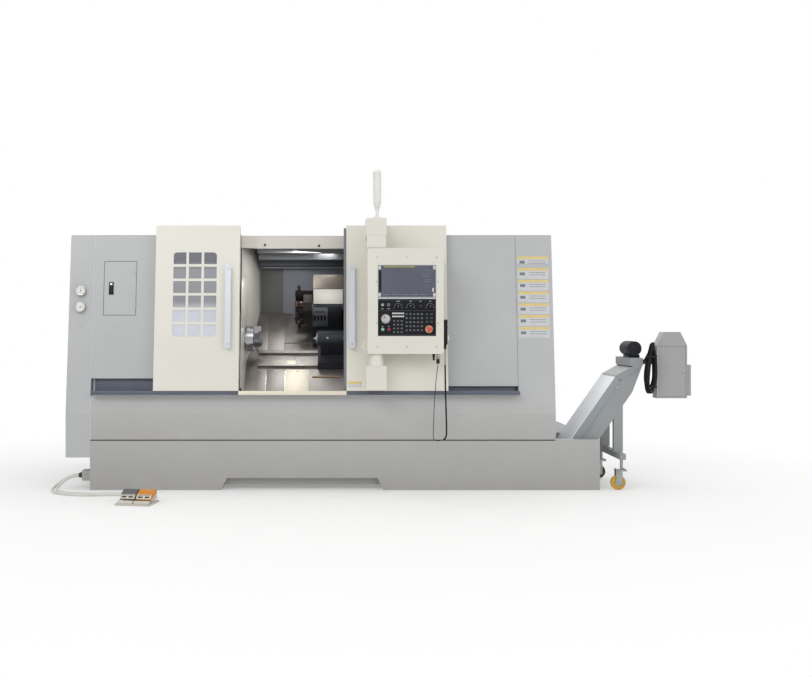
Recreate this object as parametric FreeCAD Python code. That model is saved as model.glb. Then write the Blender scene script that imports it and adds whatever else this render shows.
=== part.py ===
import FreeCAD, Part
import math
import os
from FreeCAD import Vector

# Slant-bed turning lathe with sliding guard doors, a swinging operator console,
# a chip conveyor on casters and a twin foot switch.
# Millimetres. X runs to the right along the spindle, Y to the back, Z up.
# Everything is first placed in the machine's own frame: Y = 0 is the front of the
# vertical skirt band, Z = 0 the floor. The whole set is then moved so that the
# origin lies on the floor under the middle of the machine.

# ---- overall sizes ----
body_left = -1673.0
body_right = 1495.0
base_right = 1795.0
base_height = 340.0
body_height = 1747.0
body_depth = 1500.0
sheet = 3.0
run_gap = 0.3

# ---- base frame ----
base_wall = 24.0
base_bays = 4
notch_left = -782.0
notch_right = 322.0
notch_height = 82.0
notch_depth = 60.0
notch_slant = 40.0
notch_roof = 30.0

# ---- leaning front ----
lean_start = 517.0
lean_deg = 7.6
skirt_lean_height = 124.0
rail_depth = 70.0
rail_height = 27.7
cover_inset = 40.0
left_slot_height = 243.0
right_slot_height = 190.0
cover_top = 1240.0

# ---- left end cover ----
end_cover_width = 166.0
end_cover_bottom = 221.0
bar_port_radius = 70.0

# ---- doors ----
opening_left = -660.0
opening_right = 71.0
door_clear = 12.0
door_thick = 65.0
door_bottom = skirt_lean_height + rail_height + run_gap
door_top = 1292.0
left_door_width = 576.0
right_door_width = 688.0
seal_width = 19.0
window_left = -1113.0
window_width = 296.0
window_low = 521.0
window_height = 582.0
window_columns = 3
window_rows = 6
window_bar = 18.0
glass_thick = 6.0
handle_low = 437.0
handle_length = 574.0
handle_width = 38.0
handle_stand = 28.0
handle_thick = 12.0
left_handle_x = -753.0
right_handle_x = 90.0

# ---- access door in the left front cover ----
access_left = -1601.0
access_width = 220.0
access_low = 680.0
access_height = 374.0
access_gap = 0.8
barrel_radius = 3.6
barrel_offset = 4.0

# ---- end panel on the right ----
right_panel_x = 1244.0

# ---- header and work chamber ----
header_y = 230.0
header_depth = 60.0
header_low = 1659.0
header_left = -562.0
chamber_right = 700.0
back_wall_y = 787.0

# ---- slant bed ----
slope_y = 200.0
slope_z = 620.0
slope_deg = 45.0
slope_length = 830.0
bed_left = -1200.0
bed_right = 1250.0
bed_back = 1400.0
bed_wall = 45.0
tail_rails = [(280.0, 16.0), (405.0, 24.0)]
tail_rail_height = 20.0
saddle_rails = [(520.0, 24.0), (770.0, 24.0)]
saddle_rail_height = 8.0
rail_left = -560.0
rail_right = 690.0

# ---- spindle line ----
spindle_y = 350.0
spindle_z = 1027.0
nose_x = -634.0
chuck_length = 50.0
chuck_radius = 92.0
chuck_bore = 26.0
spindle_radius = 60.0
spindle_bore = 26.0
flange_radius = 72.0
flange_length = 16.0
headstock_left = -1120.0
headstock_right = -690.0
pulley_radius = 110.0
pulley_length = 60.0
spindle_left = -1200.0
jaw_width = 34.0
jaw_slot = 24.0
jaw_slot_depth = 20.0
jaw_reach = 53.0
jaw_inner = 36.0
jaw_outer = 86.0
jaw_tongue_inner = 32.0
jaw_count = 3

# ---- turret ----
turret_lift = 320.0
turret_x = -235.0
turret_thick = 60.0
turret_apothem = 120.0
turret_sides = 12
holder_count = 6
holder_reach = 60.0
holder_inner = 78.0
holder_outer = 163.0
holder_width = 44.0
turret_body_right = 60.0
turret_half = 90.0
turret_cover_high = 420.0
saddle_low = 480.0
saddle_high = 822.0
saddle_thick = 40.0
slide_thick = 30.0

# ---- tailstock ----
tail_left = -130.0
tail_right = 250.0
tail_low = 262.0
tail_high = 464.0
tail_head = 55.0
quill_radius = 32.0
quill_nose = -163.0

# ---- console ----
console_left = 209.0
console_right = 712.0
console_low = 931.0
console_high = 1631.0
console_front = -210.0
console_depth = 120.0
console_round = 14.0
pivot_x = 268.0
pivot_y = -150.0
pivot_pin = 22.0
arm_left = 201.0
arm_right = 335.0
arm_low = 1719.0
arm_high = 1831.0
arm_front = -200.0
shelf_low = 690.0
shelf_high = 850.0
boss_low_radius = 56.0
boss_high_radius = 40.0
neck_radius = 38.0
panel_left = 277.0
panel_right = 661.0
panel_depth = 8.0
screen_low = 1304.0
screen_high = 1518.0
keys_low = 1049.0
keys_high = 1295.0
wheel_x = 327.7
wheel_z = 1162.3
wheel_radius = 28.5
wheel_height = 20.0
knob_places = [(410.3, 1241.6), (492.9, 1241.6)]
knob_radius = 13.0
knob_height = 18.0
estop_x = 614.5
estop_z = 1094.2
estop_radius = 20.0
start_x = 308.5
stop_x = 349.5
button_z = 1093.0
button_radius = 11.0
button_height = 9.0
button_sink = 2.5

# ---- signal tower ----
tower_height = 325.0
tower_radius = 27.0
tower_neck = 11.0

# ---- pendant ----
pendant_low = 993.0
pendant_high = 1158.0
pendant_thick = 28.0
pendant_width = 70.0
dial_radius = 18.0
dial_height = 13.0
dial_z = 1035.0
plug_x = 679.5
plug_low = 862.0

# ---- conveyor ----
trough_front = 90.0
trough_back = 510.0
trough_left = -920.0
trough_floor = 70.0
conveyor_front = 100.0
conveyor_back = 500.0
conveyor_left = -900.0
conveyor_height = 155.0
conveyor_deg = 55.0
elbow_x = 1629.0
head_low_z = 658.0
head_x = 2107.0
head_z = 839.0
head_edge = 9.0
head_length = 57.0
head_bend_x = 1930.0
casing_wall = 4.0
left_lip_length = 20.0
right_lip_length = 60.0
bar_size = 40.0
bar_x = 1926.0
bar_low = 207.0
bar_front = -20.0
bar_back = 620.0
leg_width = 62.0
leg_x = 1915.0
mount_height = 56.0
mount_left = 2030.0
mount_overhang = 8.0
arm_y = 120.0
arm_width = 60.0
arm_lift = 12.0
arm_height = 32.0
box_left = 2211.0
box_width = 209.0
box_low = 617.0
box_high = 1074.0
box_depth = 100.0
box_shoulder = 94.0
box_slope = 47.0
motor_radius = 50.0

# ---- casters ----
caster_places = [20.0, 580.0]
caster_wheel_radius = 50.0
caster_wheel_width = 32.0
caster_trail = 24.0
flange_low = 127.0
flange_thick = 10.0
axle_radius = 7.0
fork_leg = 6.0

# ---- foot switch ----
pedal_x = -1250.0
pedal_y = -560.0
pedal_turn = -10.0
plate_width = 226.0
plate_length = 190.0
plate_thick = 8.0
toe_width = 98.0
toe_length = 30.0
toe_height = 18.0
housing_width = 84.0
housing_front = 8.0
housing_back = 72.0
housing_height = 32.0
pivot_rise = 54.0
pivot_back = 65.0
treadle_length = 100.0
treadle_wall = 4.0
pedal_gap = 4.0
conduit = 18.0

# ---- gland bracket and gauges ----
bracket_low = 61.0
bracket_high = 129.0
bracket_reach = 60.0
bracket_front = 20.0
bracket_back = 110.0
gland_length = 25.0
gland_radius = 15.0
gland_places = [45.0, 87.0]
gland_z = 95.0
gauge_x = -1756.0
gauge_heights = [1357.0, 1246.0]
gauge_radius = 33.0
gauge_depth = 26.0

slope_cos = math.cos(math.radians(slope_deg))
slope_sin = math.sin(math.radians(slope_deg))
lean_slope = math.tan(math.radians(lean_deg))
parts = {}
cords = []


# ---- helpers ----
def box(x0, y0, z0, x1, y1, z1):
    return Part.makeBox(x1 - x0, y1 - y0, z1 - z0, Vector(x0, y0, z0))


def rod(radius, length, base, direction):
    return Part.makeCylinder(radius, length, base, direction)


def prism_x(points, x0, x1):
    corners = [Vector(x0, y, z) for y, z in points]
    face = Part.Face(Part.makePolygon(corners + corners[:1]))
    return face.extrude(Vector(x1 - x0, 0, 0))


def prism_y(points, y0, y1):
    corners = [Vector(x, y0, z) for x, z in points]
    face = Part.Face(Part.makePolygon(corners + corners[:1]))
    return face.extrude(Vector(0, y1 - y0, 0))


def prism_z(points, z0, z1):
    corners = [Vector(x, y, z0) for x, y in points]
    face = Part.Face(Part.makePolygon(corners + corners[:1]))
    return face.extrude(Vector(0, 0, z1 - z0))


def front_y(z):
    # where the leaning front plane stands at height z
    return max(0.0, (z - lean_start) * lean_slope)


def lean(shape):
    # tilts a shape made upright, ahead of the skirt, into the leaning plane
    leaning = shape.copy()
    leaning.rotate(Vector(0, 0, lean_start), Vector(1, 0, 0), -lean_deg)
    return leaning


def lean_box(x0, v0, w0, x1, v1, w1):
    # v is the depth behind the leaning plane, w the height along it
    return lean(box(x0, v0, lean_start + w0, x1, v1, lean_start + w1))


def slope_box(x0, s0, n0, x1, s1, n1):
    # s runs up the bed's slope from its foot, n stands off it
    flat = box(x0, s0, n0, x1, s1, n1)
    flat.rotate(Vector(0, 0, 0), Vector(1, 0, 0), slope_deg)
    flat.translate(Vector(0, slope_y, slope_z))
    return flat


def slope_point(s, n):
    return (slope_y + s * slope_cos - n * slope_sin, slope_z + s * slope_sin + n * slope_cos)


def route_tube(name, points, diameter):
    # a plain tube of straight runs joined by tangent arcs
    spots = [Vector(*p) for p in points]
    edges = []
    start = spots[0]
    radii = []
    for before, corner, after in zip(spots, spots[1:], spots[2:]):
        run_in = corner - before
        run_out = after - corner
        turn = run_in.getAngle(run_out)
        reach = 0.45 * min(run_in.Length, run_out.Length)
        radius = reach / math.tan(turn / 2)
        radii.append(radius)
        into = Vector(run_in).normalize()
        out = Vector(run_out).normalize()
        arc_start = corner - into * reach
        arc_end = corner + out * reach
        inward = Vector(out - into).normalize()
        centre = corner + inward * (radius / math.cos(turn / 2))
        middle = centre + (corner - centre).normalize() * radius
        edges.append(Part.LineSegment(start, arc_start).toShape())
        edges.append(Part.Arc(arc_start, middle, arc_end).toShape())
        start = arc_end
    edges.append(Part.LineSegment(start, spots[-1]).toShape())
    path = Part.Wire(edges)
    section = Part.Wire(Part.Circle(spots[0], spots[1] - spots[0], diameter / 2).toShape())
    tube = path.makePipeShell([section], True, False)
    drift = tube.Volume / (math.pi * diameter ** 2 / 4 * path.Length) - 1
    print(name, "length", round(path.Length), "volume drift", round(drift, 5))
    print("  radii", [round(radius) for radius in radii])
    return tube


# ---- base and bed ----
def machine_base():
    # a welded frame of beams and plates, open below, each plate a solid of its own
    bay_left = body_left + base_wall
    tray_left = trough_left - base_wall
    tray_back = trough_back + base_wall
    back = body_depth - base_wall
    deck = base_height - base_wall
    left_foot = [(tray_left, 0), (notch_left, 0), (notch_left + notch_slant, notch_height),
                 (tray_left, notch_height)]
    right_foot = [(notch_right, 0), (base_right, 0), (base_right, notch_height),
                  (notch_right - notch_slant, notch_height)]
    plates = [
        prism_y(left_foot, 0, notch_depth),
        prism_y(right_foot, 0, notch_depth),
        box(tray_left, 0, notch_height, base_right, notch_depth, base_height),
        box(tray_left, notch_depth, trough_floor, base_right, trough_front, base_height),
        box(tray_left, notch_depth, 0, notch_left, trough_back, trough_floor),
        box(notch_left, notch_depth, notch_roof, notch_right, trough_back, trough_floor),
        box(notch_right, notch_depth, 0, base_right, trough_back, trough_floor),
        box(tray_left, trough_front, trough_floor, trough_left, trough_back, base_height),
        box(body_left, 0, 0, tray_left, base_wall, base_height),
        box(body_left, base_wall, 0, bay_left, back, base_height),
        box(bay_left, base_wall, deck, tray_left, trough_back, base_height),
        box(bay_left, trough_back, 0, base_right, tray_back, base_height),
        box(bay_left, tray_back, deck, base_right, back, base_height),
        box(body_left, back, 0, base_right, body_depth, base_height)]
    bay_length = (base_right - bay_left) / base_bays
    for bay in range(1, base_bays + 1):
        rib_right = bay_left + bay * bay_length
        plates.append(box(rib_right - base_wall, tray_back, 0, rib_right, back, deck))
    return Part.makeCompound(plates)


def slant_bed():
    top_y, top_z = slope_point(slope_length, 0)
    heel = trough_back + 10
    profile = [(slope_y, slope_z), (top_y, top_z), (top_y + 420, top_z), (bed_back, top_z - 110),
               (bed_back, base_height), (heel, base_height), (heel, 560), (slope_y + 130, 560),
               (slope_y + 20, slope_z - 25)]
    bed = prism_x(profile, bed_left, bed_right)
    bays = 4
    bay_length = (bed_right - bed_left - bed_wall) / bays
    for bay in range(bays):
        x0 = bed_left + bed_wall + bay * bay_length
        x1 = x0 + bay_length - bed_wall
        bed = bed.cut(box(x0, 760, base_height + bed_wall, x1, bed_back + 1, top_z - 190))
    for s, width in tail_rails:
        bed = bed.fuse(slope_box(rail_left, s, -2, rail_right, s + width, tail_rail_height))
    for s, width in saddle_rails:
        bed = bed.fuse(slope_box(rail_left, s, -2, rail_right, s + width, saddle_rail_height))
    return bed


# ---- covers ----
def front_skirt():
    low = [Vector(0, 0, base_height), Vector(0, 0, lean_start)]
    top_z = lean_start + skirt_lean_height
    top = lean(Part.Vertex(0, 0, top_z)).Point
    shelf = lean(Part.Vertex(0, cover_inset, top_z)).Point
    outline = Part.makePolygon(low + [top, shelf])
    skin = outline.makeOffset2D(sheet, 2, True, True, False).extrude(Vector(body_right - sheet - body_left, 0, 0))
    skin.translate(Vector(body_left, 0, 0))
    rail = lean_box(body_left + 20, -rail_depth, skirt_lean_height, right_panel_x, cover_inset / 2,
                    skirt_lean_height + rail_height)
    return skin.fuse(rail)


def front_cover(x0, x1, slot_height):
    # one folded sheet: recessed strip behind the door rail, bend out, leaning face, bend back to the roof
    floor = skirt_lean_height + rail_height + run_gap
    recess = lean_box(x0, cover_inset - sheet, floor, x1, cover_inset, slot_height + sheet)
    ledge = lean_box(x0, 0, slot_height, x1, cover_inset, slot_height + sheet)
    face = lean_box(x0, 0, slot_height, x1, sheet, cover_top)
    edge_y = front_y(body_height)
    lid = box(x0, edge_y - 0.5, body_height - sheet, x1, header_y, body_height)
    joined = face.fuse([recess, ledge, lid])
    return joined.cut(box(x0, -500, body_height, x1, header_y + 1, body_height + 50))


def left_front_cover():
    cover = front_cover(body_left, opening_left, left_slot_height)
    edge = lean_box(opening_left - sheet, 0, left_slot_height, opening_left, 30, cover_top - 10)
    window = lean_box(access_left, -1, access_low, access_left + access_width, sheet + 1,
                      access_low + access_height)
    return cover.fuse(edge).cut(window)


def right_front_cover():
    cover = front_cover(opening_right, right_panel_x, right_slot_height)
    edge = lean_box(opening_right, 0, right_slot_height, opening_right + sheet, 30, cover_top - 10)
    return cover.fuse(edge)


def end_profile(z0, inset):
    # side outline of the enclosure from height z0 up, drawn in by inset all round
    top = body_height - inset
    points = [(inset, z0 + inset), (inset, lean_start), (front_y(top) + inset, top),
              (body_depth - inset, top), (body_depth - inset, z0 + inset)]
    return points


def left_end_cover():
    x0 = body_left - end_cover_width
    shell = prism_x(end_profile(end_cover_bottom, 0), x0, body_left)
    shell = shell.cut(prism_x(end_profile(end_cover_bottom, sheet), x0 + sheet, body_left + 1))
    # port in line with the spindle, through which bar stock is fed
    port = rod(bar_port_radius, 3 * sheet, Vector(x0 - sheet, spindle_y, spindle_z), Vector(1, 0, 0))
    return shell.cut(port)


def right_end_cover():
    side = prism_x(end_profile(base_height, 0), body_right - sheet, body_right)
    floor = skirt_lean_height + run_gap
    face = lean_box(right_panel_x, 0, floor, body_right - sheet, sheet, cover_top)
    lid = box(right_panel_x, front_y(body_height) - 0.5, body_height - sheet, body_right - sheet,
              header_y, body_height)
    joined = side.fuse([face, lid])
    return joined.cut(box(right_panel_x - 1, -500, body_height, body_right + 1, header_y + 1, body_height + 50))


def roof_cover():
    roof = box(body_left, header_y, body_height - sheet, body_right - sheet, body_depth - sheet, body_height)
    flange = box(body_left, body_depth - 2 * sheet, body_height - 40, body_right - sheet,
                 body_depth - sheet, body_height - sheet)
    return roof.fuse(flange)


def rear_cover():
    slot_rows = 7
    panel = box(body_left, body_depth - sheet, base_height, body_right - sheet, body_depth, body_height)
    for bank in (-1200.0, 700.0):
        for row in range(slot_rows):
            z = 700.0 + row * 40
            panel = panel.cut(box(bank, body_depth - sheet - 1, z, bank + 320, body_depth + 1, z + 10))
    foot = box(body_left, body_depth - 40, base_height, body_right - sheet, body_depth - sheet, base_height + sheet)
    return panel.fuse(foot)


def header_beam():
    top = body_height - sheet
    beam = box(header_left, header_y, header_low, chamber_right, header_y + header_depth, top)
    core = box(header_left - 1, header_y + sheet, header_low + sheet, chamber_right + 1,
               header_y + header_depth - sheet, top - sheet)
    cheek_front = front_y(header_low) + 10
    cheek = prism_z([(opening_left + 2, cheek_front), (opening_left + 6, cheek_front),
                     (header_left + 2, header_y), (header_left + 2, header_y + 4),
                     (header_left, header_y + 4)], header_low, top)
    return beam.cut(core).fuse(cheek)


def inner_liner():
    # ceiling, back wall and right wall folded from sheet
    ceiling_z = body_height - 10
    foot_z = slope_point(slope_length, 0)[1]
    left = -560.0
    ceiling = box(opening_left + 10, header_y + header_depth, ceiling_z, chamber_right, back_wall_y, ceiling_z + sheet)
    back = box(left, back_wall_y, foot_z, chamber_right, back_wall_y + sheet, ceiling_z + sheet)
    outline = [(header_y + header_depth, slope_z + 120), (header_y + header_depth, ceiling_z + sheet),
               (back_wall_y + sheet, ceiling_z + sheet), (back_wall_y + sheet, foot_z)]
    right = prism_x(outline, chamber_right, chamber_right + sheet)
    bed = slope_box(bed_left, -200, -300, bed_right, slope_length + 300, 0.3)
    return ceiling.fuse([back, right]).cut(bed)


def headstock_guard():
    # bent plate between the work chamber and the headstock, open round the spindle nose
    plan = Part.makePolygon([Vector(-656, 30, 0), Vector(-646, 440, 0), Vector(-575, back_wall_y - 1, 0)])
    plate = plan.makeOffset2D(sheet, 2, True, True, False).extrude(Vector(0, 0, body_height - 10 - 400))
    plate.translate(Vector(0, 0, 400))
    below = prism_x([(-10, 200), (-10, 690), (90, 690), (slope_y, slope_z + 0.3),
                     (slope_y + 700, slope_z + 700.3), (slope_y + 700, 200)], -800, -400)
    hole = rod(flange_radius + 6, 200, Vector(-740, spindle_y, spindle_z), Vector(1, 0, 0))
    ahead = lean_box(-800, -400, -300, -400, 2 * sheet, 1500)
    header_side = box(-800, -10, header_low - 1, -400, header_y + 6, body_height + 10)
    return plate.cut(below).cut(hole).cut(ahead).cut(header_side)


# ---- doors ----
def door_shell(x0, width, openings):
    front = -(door_clear + door_thick)
    back = -door_clear
    shell = lean_box(x0, front, door_bottom, x0 + width, back, door_top)
    shell = shell.cut(lean_box(x0 + sheet, front + sheet, door_bottom + sheet, x0 + width - sheet,
                               back + 1, door_top - sheet))
    for opening in openings:
        shell = shell.cut(opening)
    return shell


def window_cells():
    front = -(door_clear + door_thick)
    cell_width = (window_width - window_bar * (window_columns - 1)) / window_columns
    cell_height = (window_height - window_bar * (window_rows - 1)) / window_rows
    cells = []
    for column in range(window_columns):
        for row in range(window_rows):
            x0 = window_left + column * (cell_width + window_bar)
            w0 = window_low + row * (cell_height + window_bar)
            cells.append(lean_box(x0, front - 1, w0, x0 + cell_width, front + sheet + 1, w0 + cell_height))
    return cells


def left_door_window():
    margin = 12.0
    back = -(door_clear + door_thick) + sheet
    return lean_box(window_left - margin, back, window_low - margin, window_left + window_width + margin,
                    back + glass_thick, window_low + window_height + margin)


def bar_handle(x0):
    face = -(door_clear + door_thick)
    outer = face - handle_stand - handle_thick
    bar = box(x0, outer, lean_start + handle_low, x0 + handle_width, outer + handle_thick,
              lean_start + handle_low + handle_length)
    corners = [edge for edge in bar.Edges if abs(edge.Length - handle_thick) < 0.01]
    bar = bar.makeFillet(handle_width * 0.45, corners)
    for w in (handle_low + 50, handle_low + handle_length - 50):
        bar = bar.fuse(rod(9, handle_stand + 0.5, Vector(x0 + handle_width / 2, outer + handle_thick - 0.5,
                                                         lean_start + w), Vector(0, 1, 0)))
    return lean(bar)


def access_door():
    leaf = lean_box(access_left + access_gap, 0, access_low + access_gap, access_left + access_width - access_gap,
                    sheet, access_low + access_height - access_gap)
    hinge_x = access_left + access_width - access_gap
    for w in (access_low + 50, access_low + access_height - 90):
        barrel = rod(barrel_radius, 40, Vector(hinge_x, -barrel_offset, lean_start + w), Vector(0, 0, 1))
        strap = box(hinge_x - 14, -barrel_offset, lean_start + w, hinge_x - 1, 0.5, lean_start + w + 40)
        leaf = leaf.fuse([lean(barrel), lean(strap)])
    return leaf


# ---- console and its bracket ----
def door_face_y(z):
    # outer face of the doors at height z
    return (z - lean_start) * lean_slope - (door_clear + door_thick) / math.cos(math.radians(lean_deg))


def console_bracket():
    reach = 60.0
    thick = 6.0
    face = -(door_clear + door_thick)
    low_w = (shelf_low - lean_start) + 4
    high_w = door_top - 12
    plate = lean_box(arm_left, face - thick, low_w, arm_right, face, high_w)
    arm = box(arm_left, arm_front, arm_low, arm_right, door_face_y(arm_high) + reach, arm_high)
    shelf = box(arm_left, arm_front, shelf_low, arm_right, door_face_y(shelf_high) + reach, shelf_high)
    keep_out = lean_box(arm_left - 1, face, 0, arm_right + 1, face + 400, door_top + 0.5)
    boss = Part.makeCone(boss_low_radius, boss_high_radius, console_low - shelf_high - run_gap,
                         Vector(pivot_x, pivot_y, shelf_high), Vector(0, 0, 1))
    neck = rod(neck_radius, arm_low - console_high - run_gap, Vector(pivot_x, pivot_y, console_high + run_gap),
               Vector(0, 0, 1))
    solid = arm.fuse([shelf, plate]).cut(keep_out).fuse([boss, neck])
    for z0, z1 in ((console_low - 60, console_low), (console_high, console_high + 60)):
        solid = solid.cut(rod(pivot_pin + run_gap, z1 - z0, Vector(pivot_x, pivot_y, z0), Vector(0, 0, 1)))
    return solid.removeSplitter()


def console_body():
    back = console_front + console_depth
    outer = box(console_left, console_front, console_low, console_right, back, console_high)
    corners = [edge for edge in outer.Edges if abs(edge.Length - console_depth) < 0.01]
    outer = outer.makeFillet(console_round, corners)
    wall = 4.0
    inner = box(console_left + wall, console_front + panel_depth + wall, console_low + wall,
                console_right - wall, back - wall, console_high - wall)
    body = outer.cut(inner)
    for low, high in ((screen_low, screen_high), (keys_low, keys_high)):
        body = body.cut(box(panel_left, console_front - 1, low, panel_right, console_front + panel_depth, high))
    for z0, z1 in ((console_low - 50, console_low + 6), (console_high - 6, console_high + 50)):
        body = body.fuse(rod(pivot_pin, z1 - z0, Vector(pivot_x, pivot_y, z0), Vector(0, 0, 1)))
        body = body.cut(rod(pivot_pin - 6, z1 - z0 + 2, Vector(pivot_x, pivot_y, z0 - 1), Vector(0, 0, 1)))
    socket = rod(10, console_low - plug_low, Vector(plug_x, pivot_y, plug_low), Vector(0, 0, 1))
    return body.fuse(socket)


def panel_plate(low, high):
    return box(panel_left, console_front, low, panel_right, console_front + panel_depth, high)


def key_panel():
    plate = panel_plate(keys_low, keys_high)
    for x, z in ((start_x, button_z), (stop_x, button_z), (estop_x, estop_z)):
        plate = plate.cut(rod(button_radius + run_gap, panel_depth + 2, Vector(x, console_front - 1, z), Vector(0, 1, 0)))
    return plate


def push_button(x):
    return turned_knob(button_radius, button_height + button_sink, x, button_z, 2, console_front + button_sink)


def turned_knob(radius, height, x, z, skirt, foot_y=console_front - run_gap):
    # a knob standing forward off the key panel, its foot at foot_y
    foot = Vector(x, foot_y, z)
    disc = rod(radius, height, foot, Vector(0, -1, 0))
    rim = [edge for edge in disc.Edges if edge.Length > radius and abs(edge.BoundBox.YMax - (foot.y - height)) < 0.01]
    disc = disc.makeFillet(skirt, rim)
    return disc


def selector_knob(x, z):
    grip_half = 4.5
    skirt = turned_knob(knob_radius, 6, x, z, 1.5)
    grip = box(x - grip_half, console_front - run_gap - knob_height, z - knob_radius + 1,
               x + grip_half, console_front - run_gap - 5, z + knob_radius - 1)
    return skirt.fuse(grip)


def handwheel():
    disc = turned_knob(wheel_radius, wheel_height, wheel_x, wheel_z, 4)
    spinner = rod(5, 14, Vector(wheel_x + 17, console_front - run_gap - wheel_height, wheel_z + 6), Vector(0, -1, 0))
    return disc.fuse(spinner)


def estop_button():
    stem = rod(button_radius, 12.5 + button_sink, Vector(estop_x, console_front + button_sink, estop_z),
               Vector(0, -1, 0))
    head = rod(estop_radius, 14, Vector(estop_x, console_front - 12, estop_z), Vector(0, -1, 0))
    rim = [edge for edge in head.Edges if abs(edge.BoundBox.YMin - (console_front - 26)) < 0.01
           and abs(edge.BoundBox.YMax - (console_front - 26)) < 0.01]
    head = head.makeFillet(5, rim)
    return stem.fuse(head)


def signal_tower():
    base_z = arm_high
    crown = base_z + tower_height
    outline = [Vector(0, 0, base_z), Vector(tower_radius * 0.9, 0, base_z), Vector(tower_radius * 0.9, 0, base_z + 10),
               Vector(tower_neck, 0, base_z + 16), Vector(tower_neck, 0, base_z + 48),
               Vector(tower_radius, 0, base_z + 106), Vector(tower_radius, 0, crown - 14),
               Vector(tower_radius - 9, 0, crown), Vector(0, 0, crown)]
    tower = Part.Face(Part.makePolygon(outline + outline[:1])).revolve(Vector(0, 0, 0), Vector(0, 0, 1), 360)
    tower.translate(Vector(pivot_x + 6, pivot_y, 0))
    return tower


def pendant_box():
    x0 = console_right
    case = box(x0, pivot_y - pendant_width / 2, pendant_low, x0 + pendant_thick, pivot_y + pendant_width / 2,
               pendant_high)
    upright = [edge for edge in case.Edges if abs(edge.Length - (pendant_high - pendant_low)) < 0.01
               and edge.BoundBox.XMin > x0 + 1]
    case = case.makeFillet(8, upright)
    boot = Part.makeCone(9, 6.5, 33, Vector(x0 + pendant_thick / 2, pivot_y, pendant_low), Vector(0, 0, -1))
    return case.fuse(boot)


def pendant_dial():
    base = Vector(console_right + pendant_thick + run_gap, pivot_y, dial_z)
    dial = rod(dial_radius, dial_height, base, Vector(1, 0, 0))
    rim = [edge for edge in dial.Edges if edge.BoundBox.XMin > base.x + dial_height - 0.1]
    return dial.makeFillet(2, rim)


# ---- headstock, spindle and chuck ----
def headstock():
    axis = Vector(1, 0, 0)
    s_axis = (spindle_y - slope_y + spindle_z - slope_z) * slope_cos
    body = slope_box(headstock_left, s_axis - 190, 0, headstock_right, s_axis + 190, 300)
    body = body.cut(rod(spindle_radius + run_gap, 2000, Vector(headstock_left - 500, spindle_y, spindle_z), axis))
    return body


def main_motor():
    motor_x = -1560.0
    motor_y = 900.0
    frame_radius = 130.0
    foot_half = 120.0
    axis_z = base_height + frame_radius + 30
    barrel = rod(frame_radius, 300, Vector(motor_x, motor_y, axis_z), Vector(1, 0, 0))
    shaft = rod(24, 60, Vector(motor_x + 300, motor_y, axis_z), Vector(1, 0, 0))
    feet = box(motor_x + 20, motor_y - foot_half, base_height, motor_x + 280, motor_y + foot_half, axis_z - 60)
    return barrel.fuse([feet, shaft])


def spindle():
    axis = Vector(1, 0, 0)
    tube = rod(spindle_radius, nose_x - flange_length - spindle_left, Vector(spindle_left, spindle_y, spindle_z), axis)
    flange = rod(flange_radius, flange_length, Vector(nose_x - flange_length, spindle_y, spindle_z), axis)
    pulley = rod(pulley_radius, pulley_length, Vector(spindle_left, spindle_y, spindle_z), axis)
    bore = rod(spindle_bore, 1000, Vector(spindle_left - 10, spindle_y, spindle_z), axis)
    return tube.fuse([flange, pulley]).cut(bore)


def about_spindle(shape, degrees):
    turned = shape.copy()
    turned.rotate(Vector(0, spindle_y, spindle_z), Vector(1, 0, 0), degrees)
    return turned


def chuck_body():
    axis = Vector(1, 0, 0)
    face_x = nose_x + chuck_length
    body = rod(chuck_radius, chuck_length, Vector(nose_x, spindle_y, spindle_z), axis)
    body = body.cut(rod(chuck_bore, chuck_length + 2, Vector(nose_x - 1, spindle_y, spindle_z), axis))
    slot = box(face_x - jaw_slot_depth, spindle_y - jaw_slot / 2, spindle_z, face_x + 1,
               spindle_y + jaw_slot / 2, spindle_z + chuck_radius + 1)
    for jaw in range(jaw_count):
        body = body.cut(about_spindle(slot, jaw * 360 / jaw_count))
    return body


def chuck_jaw(index):
    face_x = nose_x + chuck_length
    half = jaw_slot / 2 - run_gap
    tongue = box(face_x - jaw_slot_depth + run_gap, spindle_y - half, spindle_z + jaw_tongue_inner,
                 face_x + 1, spindle_y + half, spindle_z + jaw_outer)
    block = box(face_x + run_gap, spindle_y - jaw_width / 2, spindle_z + jaw_inner + 14, face_x + jaw_reach,
                spindle_y + jaw_width / 2, spindle_z + jaw_outer)
    step = box(face_x + run_gap, spindle_y - jaw_width / 2, spindle_z + jaw_inner, face_x + jaw_reach * 0.6,
               spindle_y + jaw_width / 2, spindle_z + jaw_inner + 15)
    return about_spindle(tongue.fuse([block, step]), index * 360 / jaw_count)


# ---- turret and tailstock ----
axis_s = (spindle_y - slope_y + spindle_z - slope_z) * slope_cos
axis_n = (spindle_z - slope_z - spindle_y + slope_y) * slope_cos
turret_s = axis_s + turret_lift
turret_y, turret_z = slope_point(turret_s, axis_n)


def grooved(block, rails, rail_height, x0, x1):
    # cuts the running grooves for the bed's rails out of a slide
    for s, width in rails:
        block = block.cut(slope_box(x0 - 1, s - run_gap, -1, x1 + 1, s + width + run_gap, rail_height + run_gap))
    return block


def saddle():
    x0 = turret_x + turret_thick + 5
    block = slope_box(x0, saddle_low, run_gap, turret_body_right, saddle_high, saddle_thick)
    return grooved(block, saddle_rails, saddle_rail_height, x0, turret_body_right)


def turret_body():
    x0 = turret_x + turret_thick + run_gap
    low = turret_s - turret_half
    high = turret_s + turret_half
    slide_low = saddle_thick + run_gap
    slab = slope_box(x0 + 5, low, slide_low, turret_body_right, high, slide_low + slide_thick)
    house = slope_box(x0, low, slide_low + slide_thick, turret_body_right - 20, high, axis_n + turret_half)
    cover = slope_box(x0 + 12, turret_s - 60, axis_n + turret_half, turret_body_right - 10, high, turret_cover_high)
    return slab.fuse([house, cover])


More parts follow.
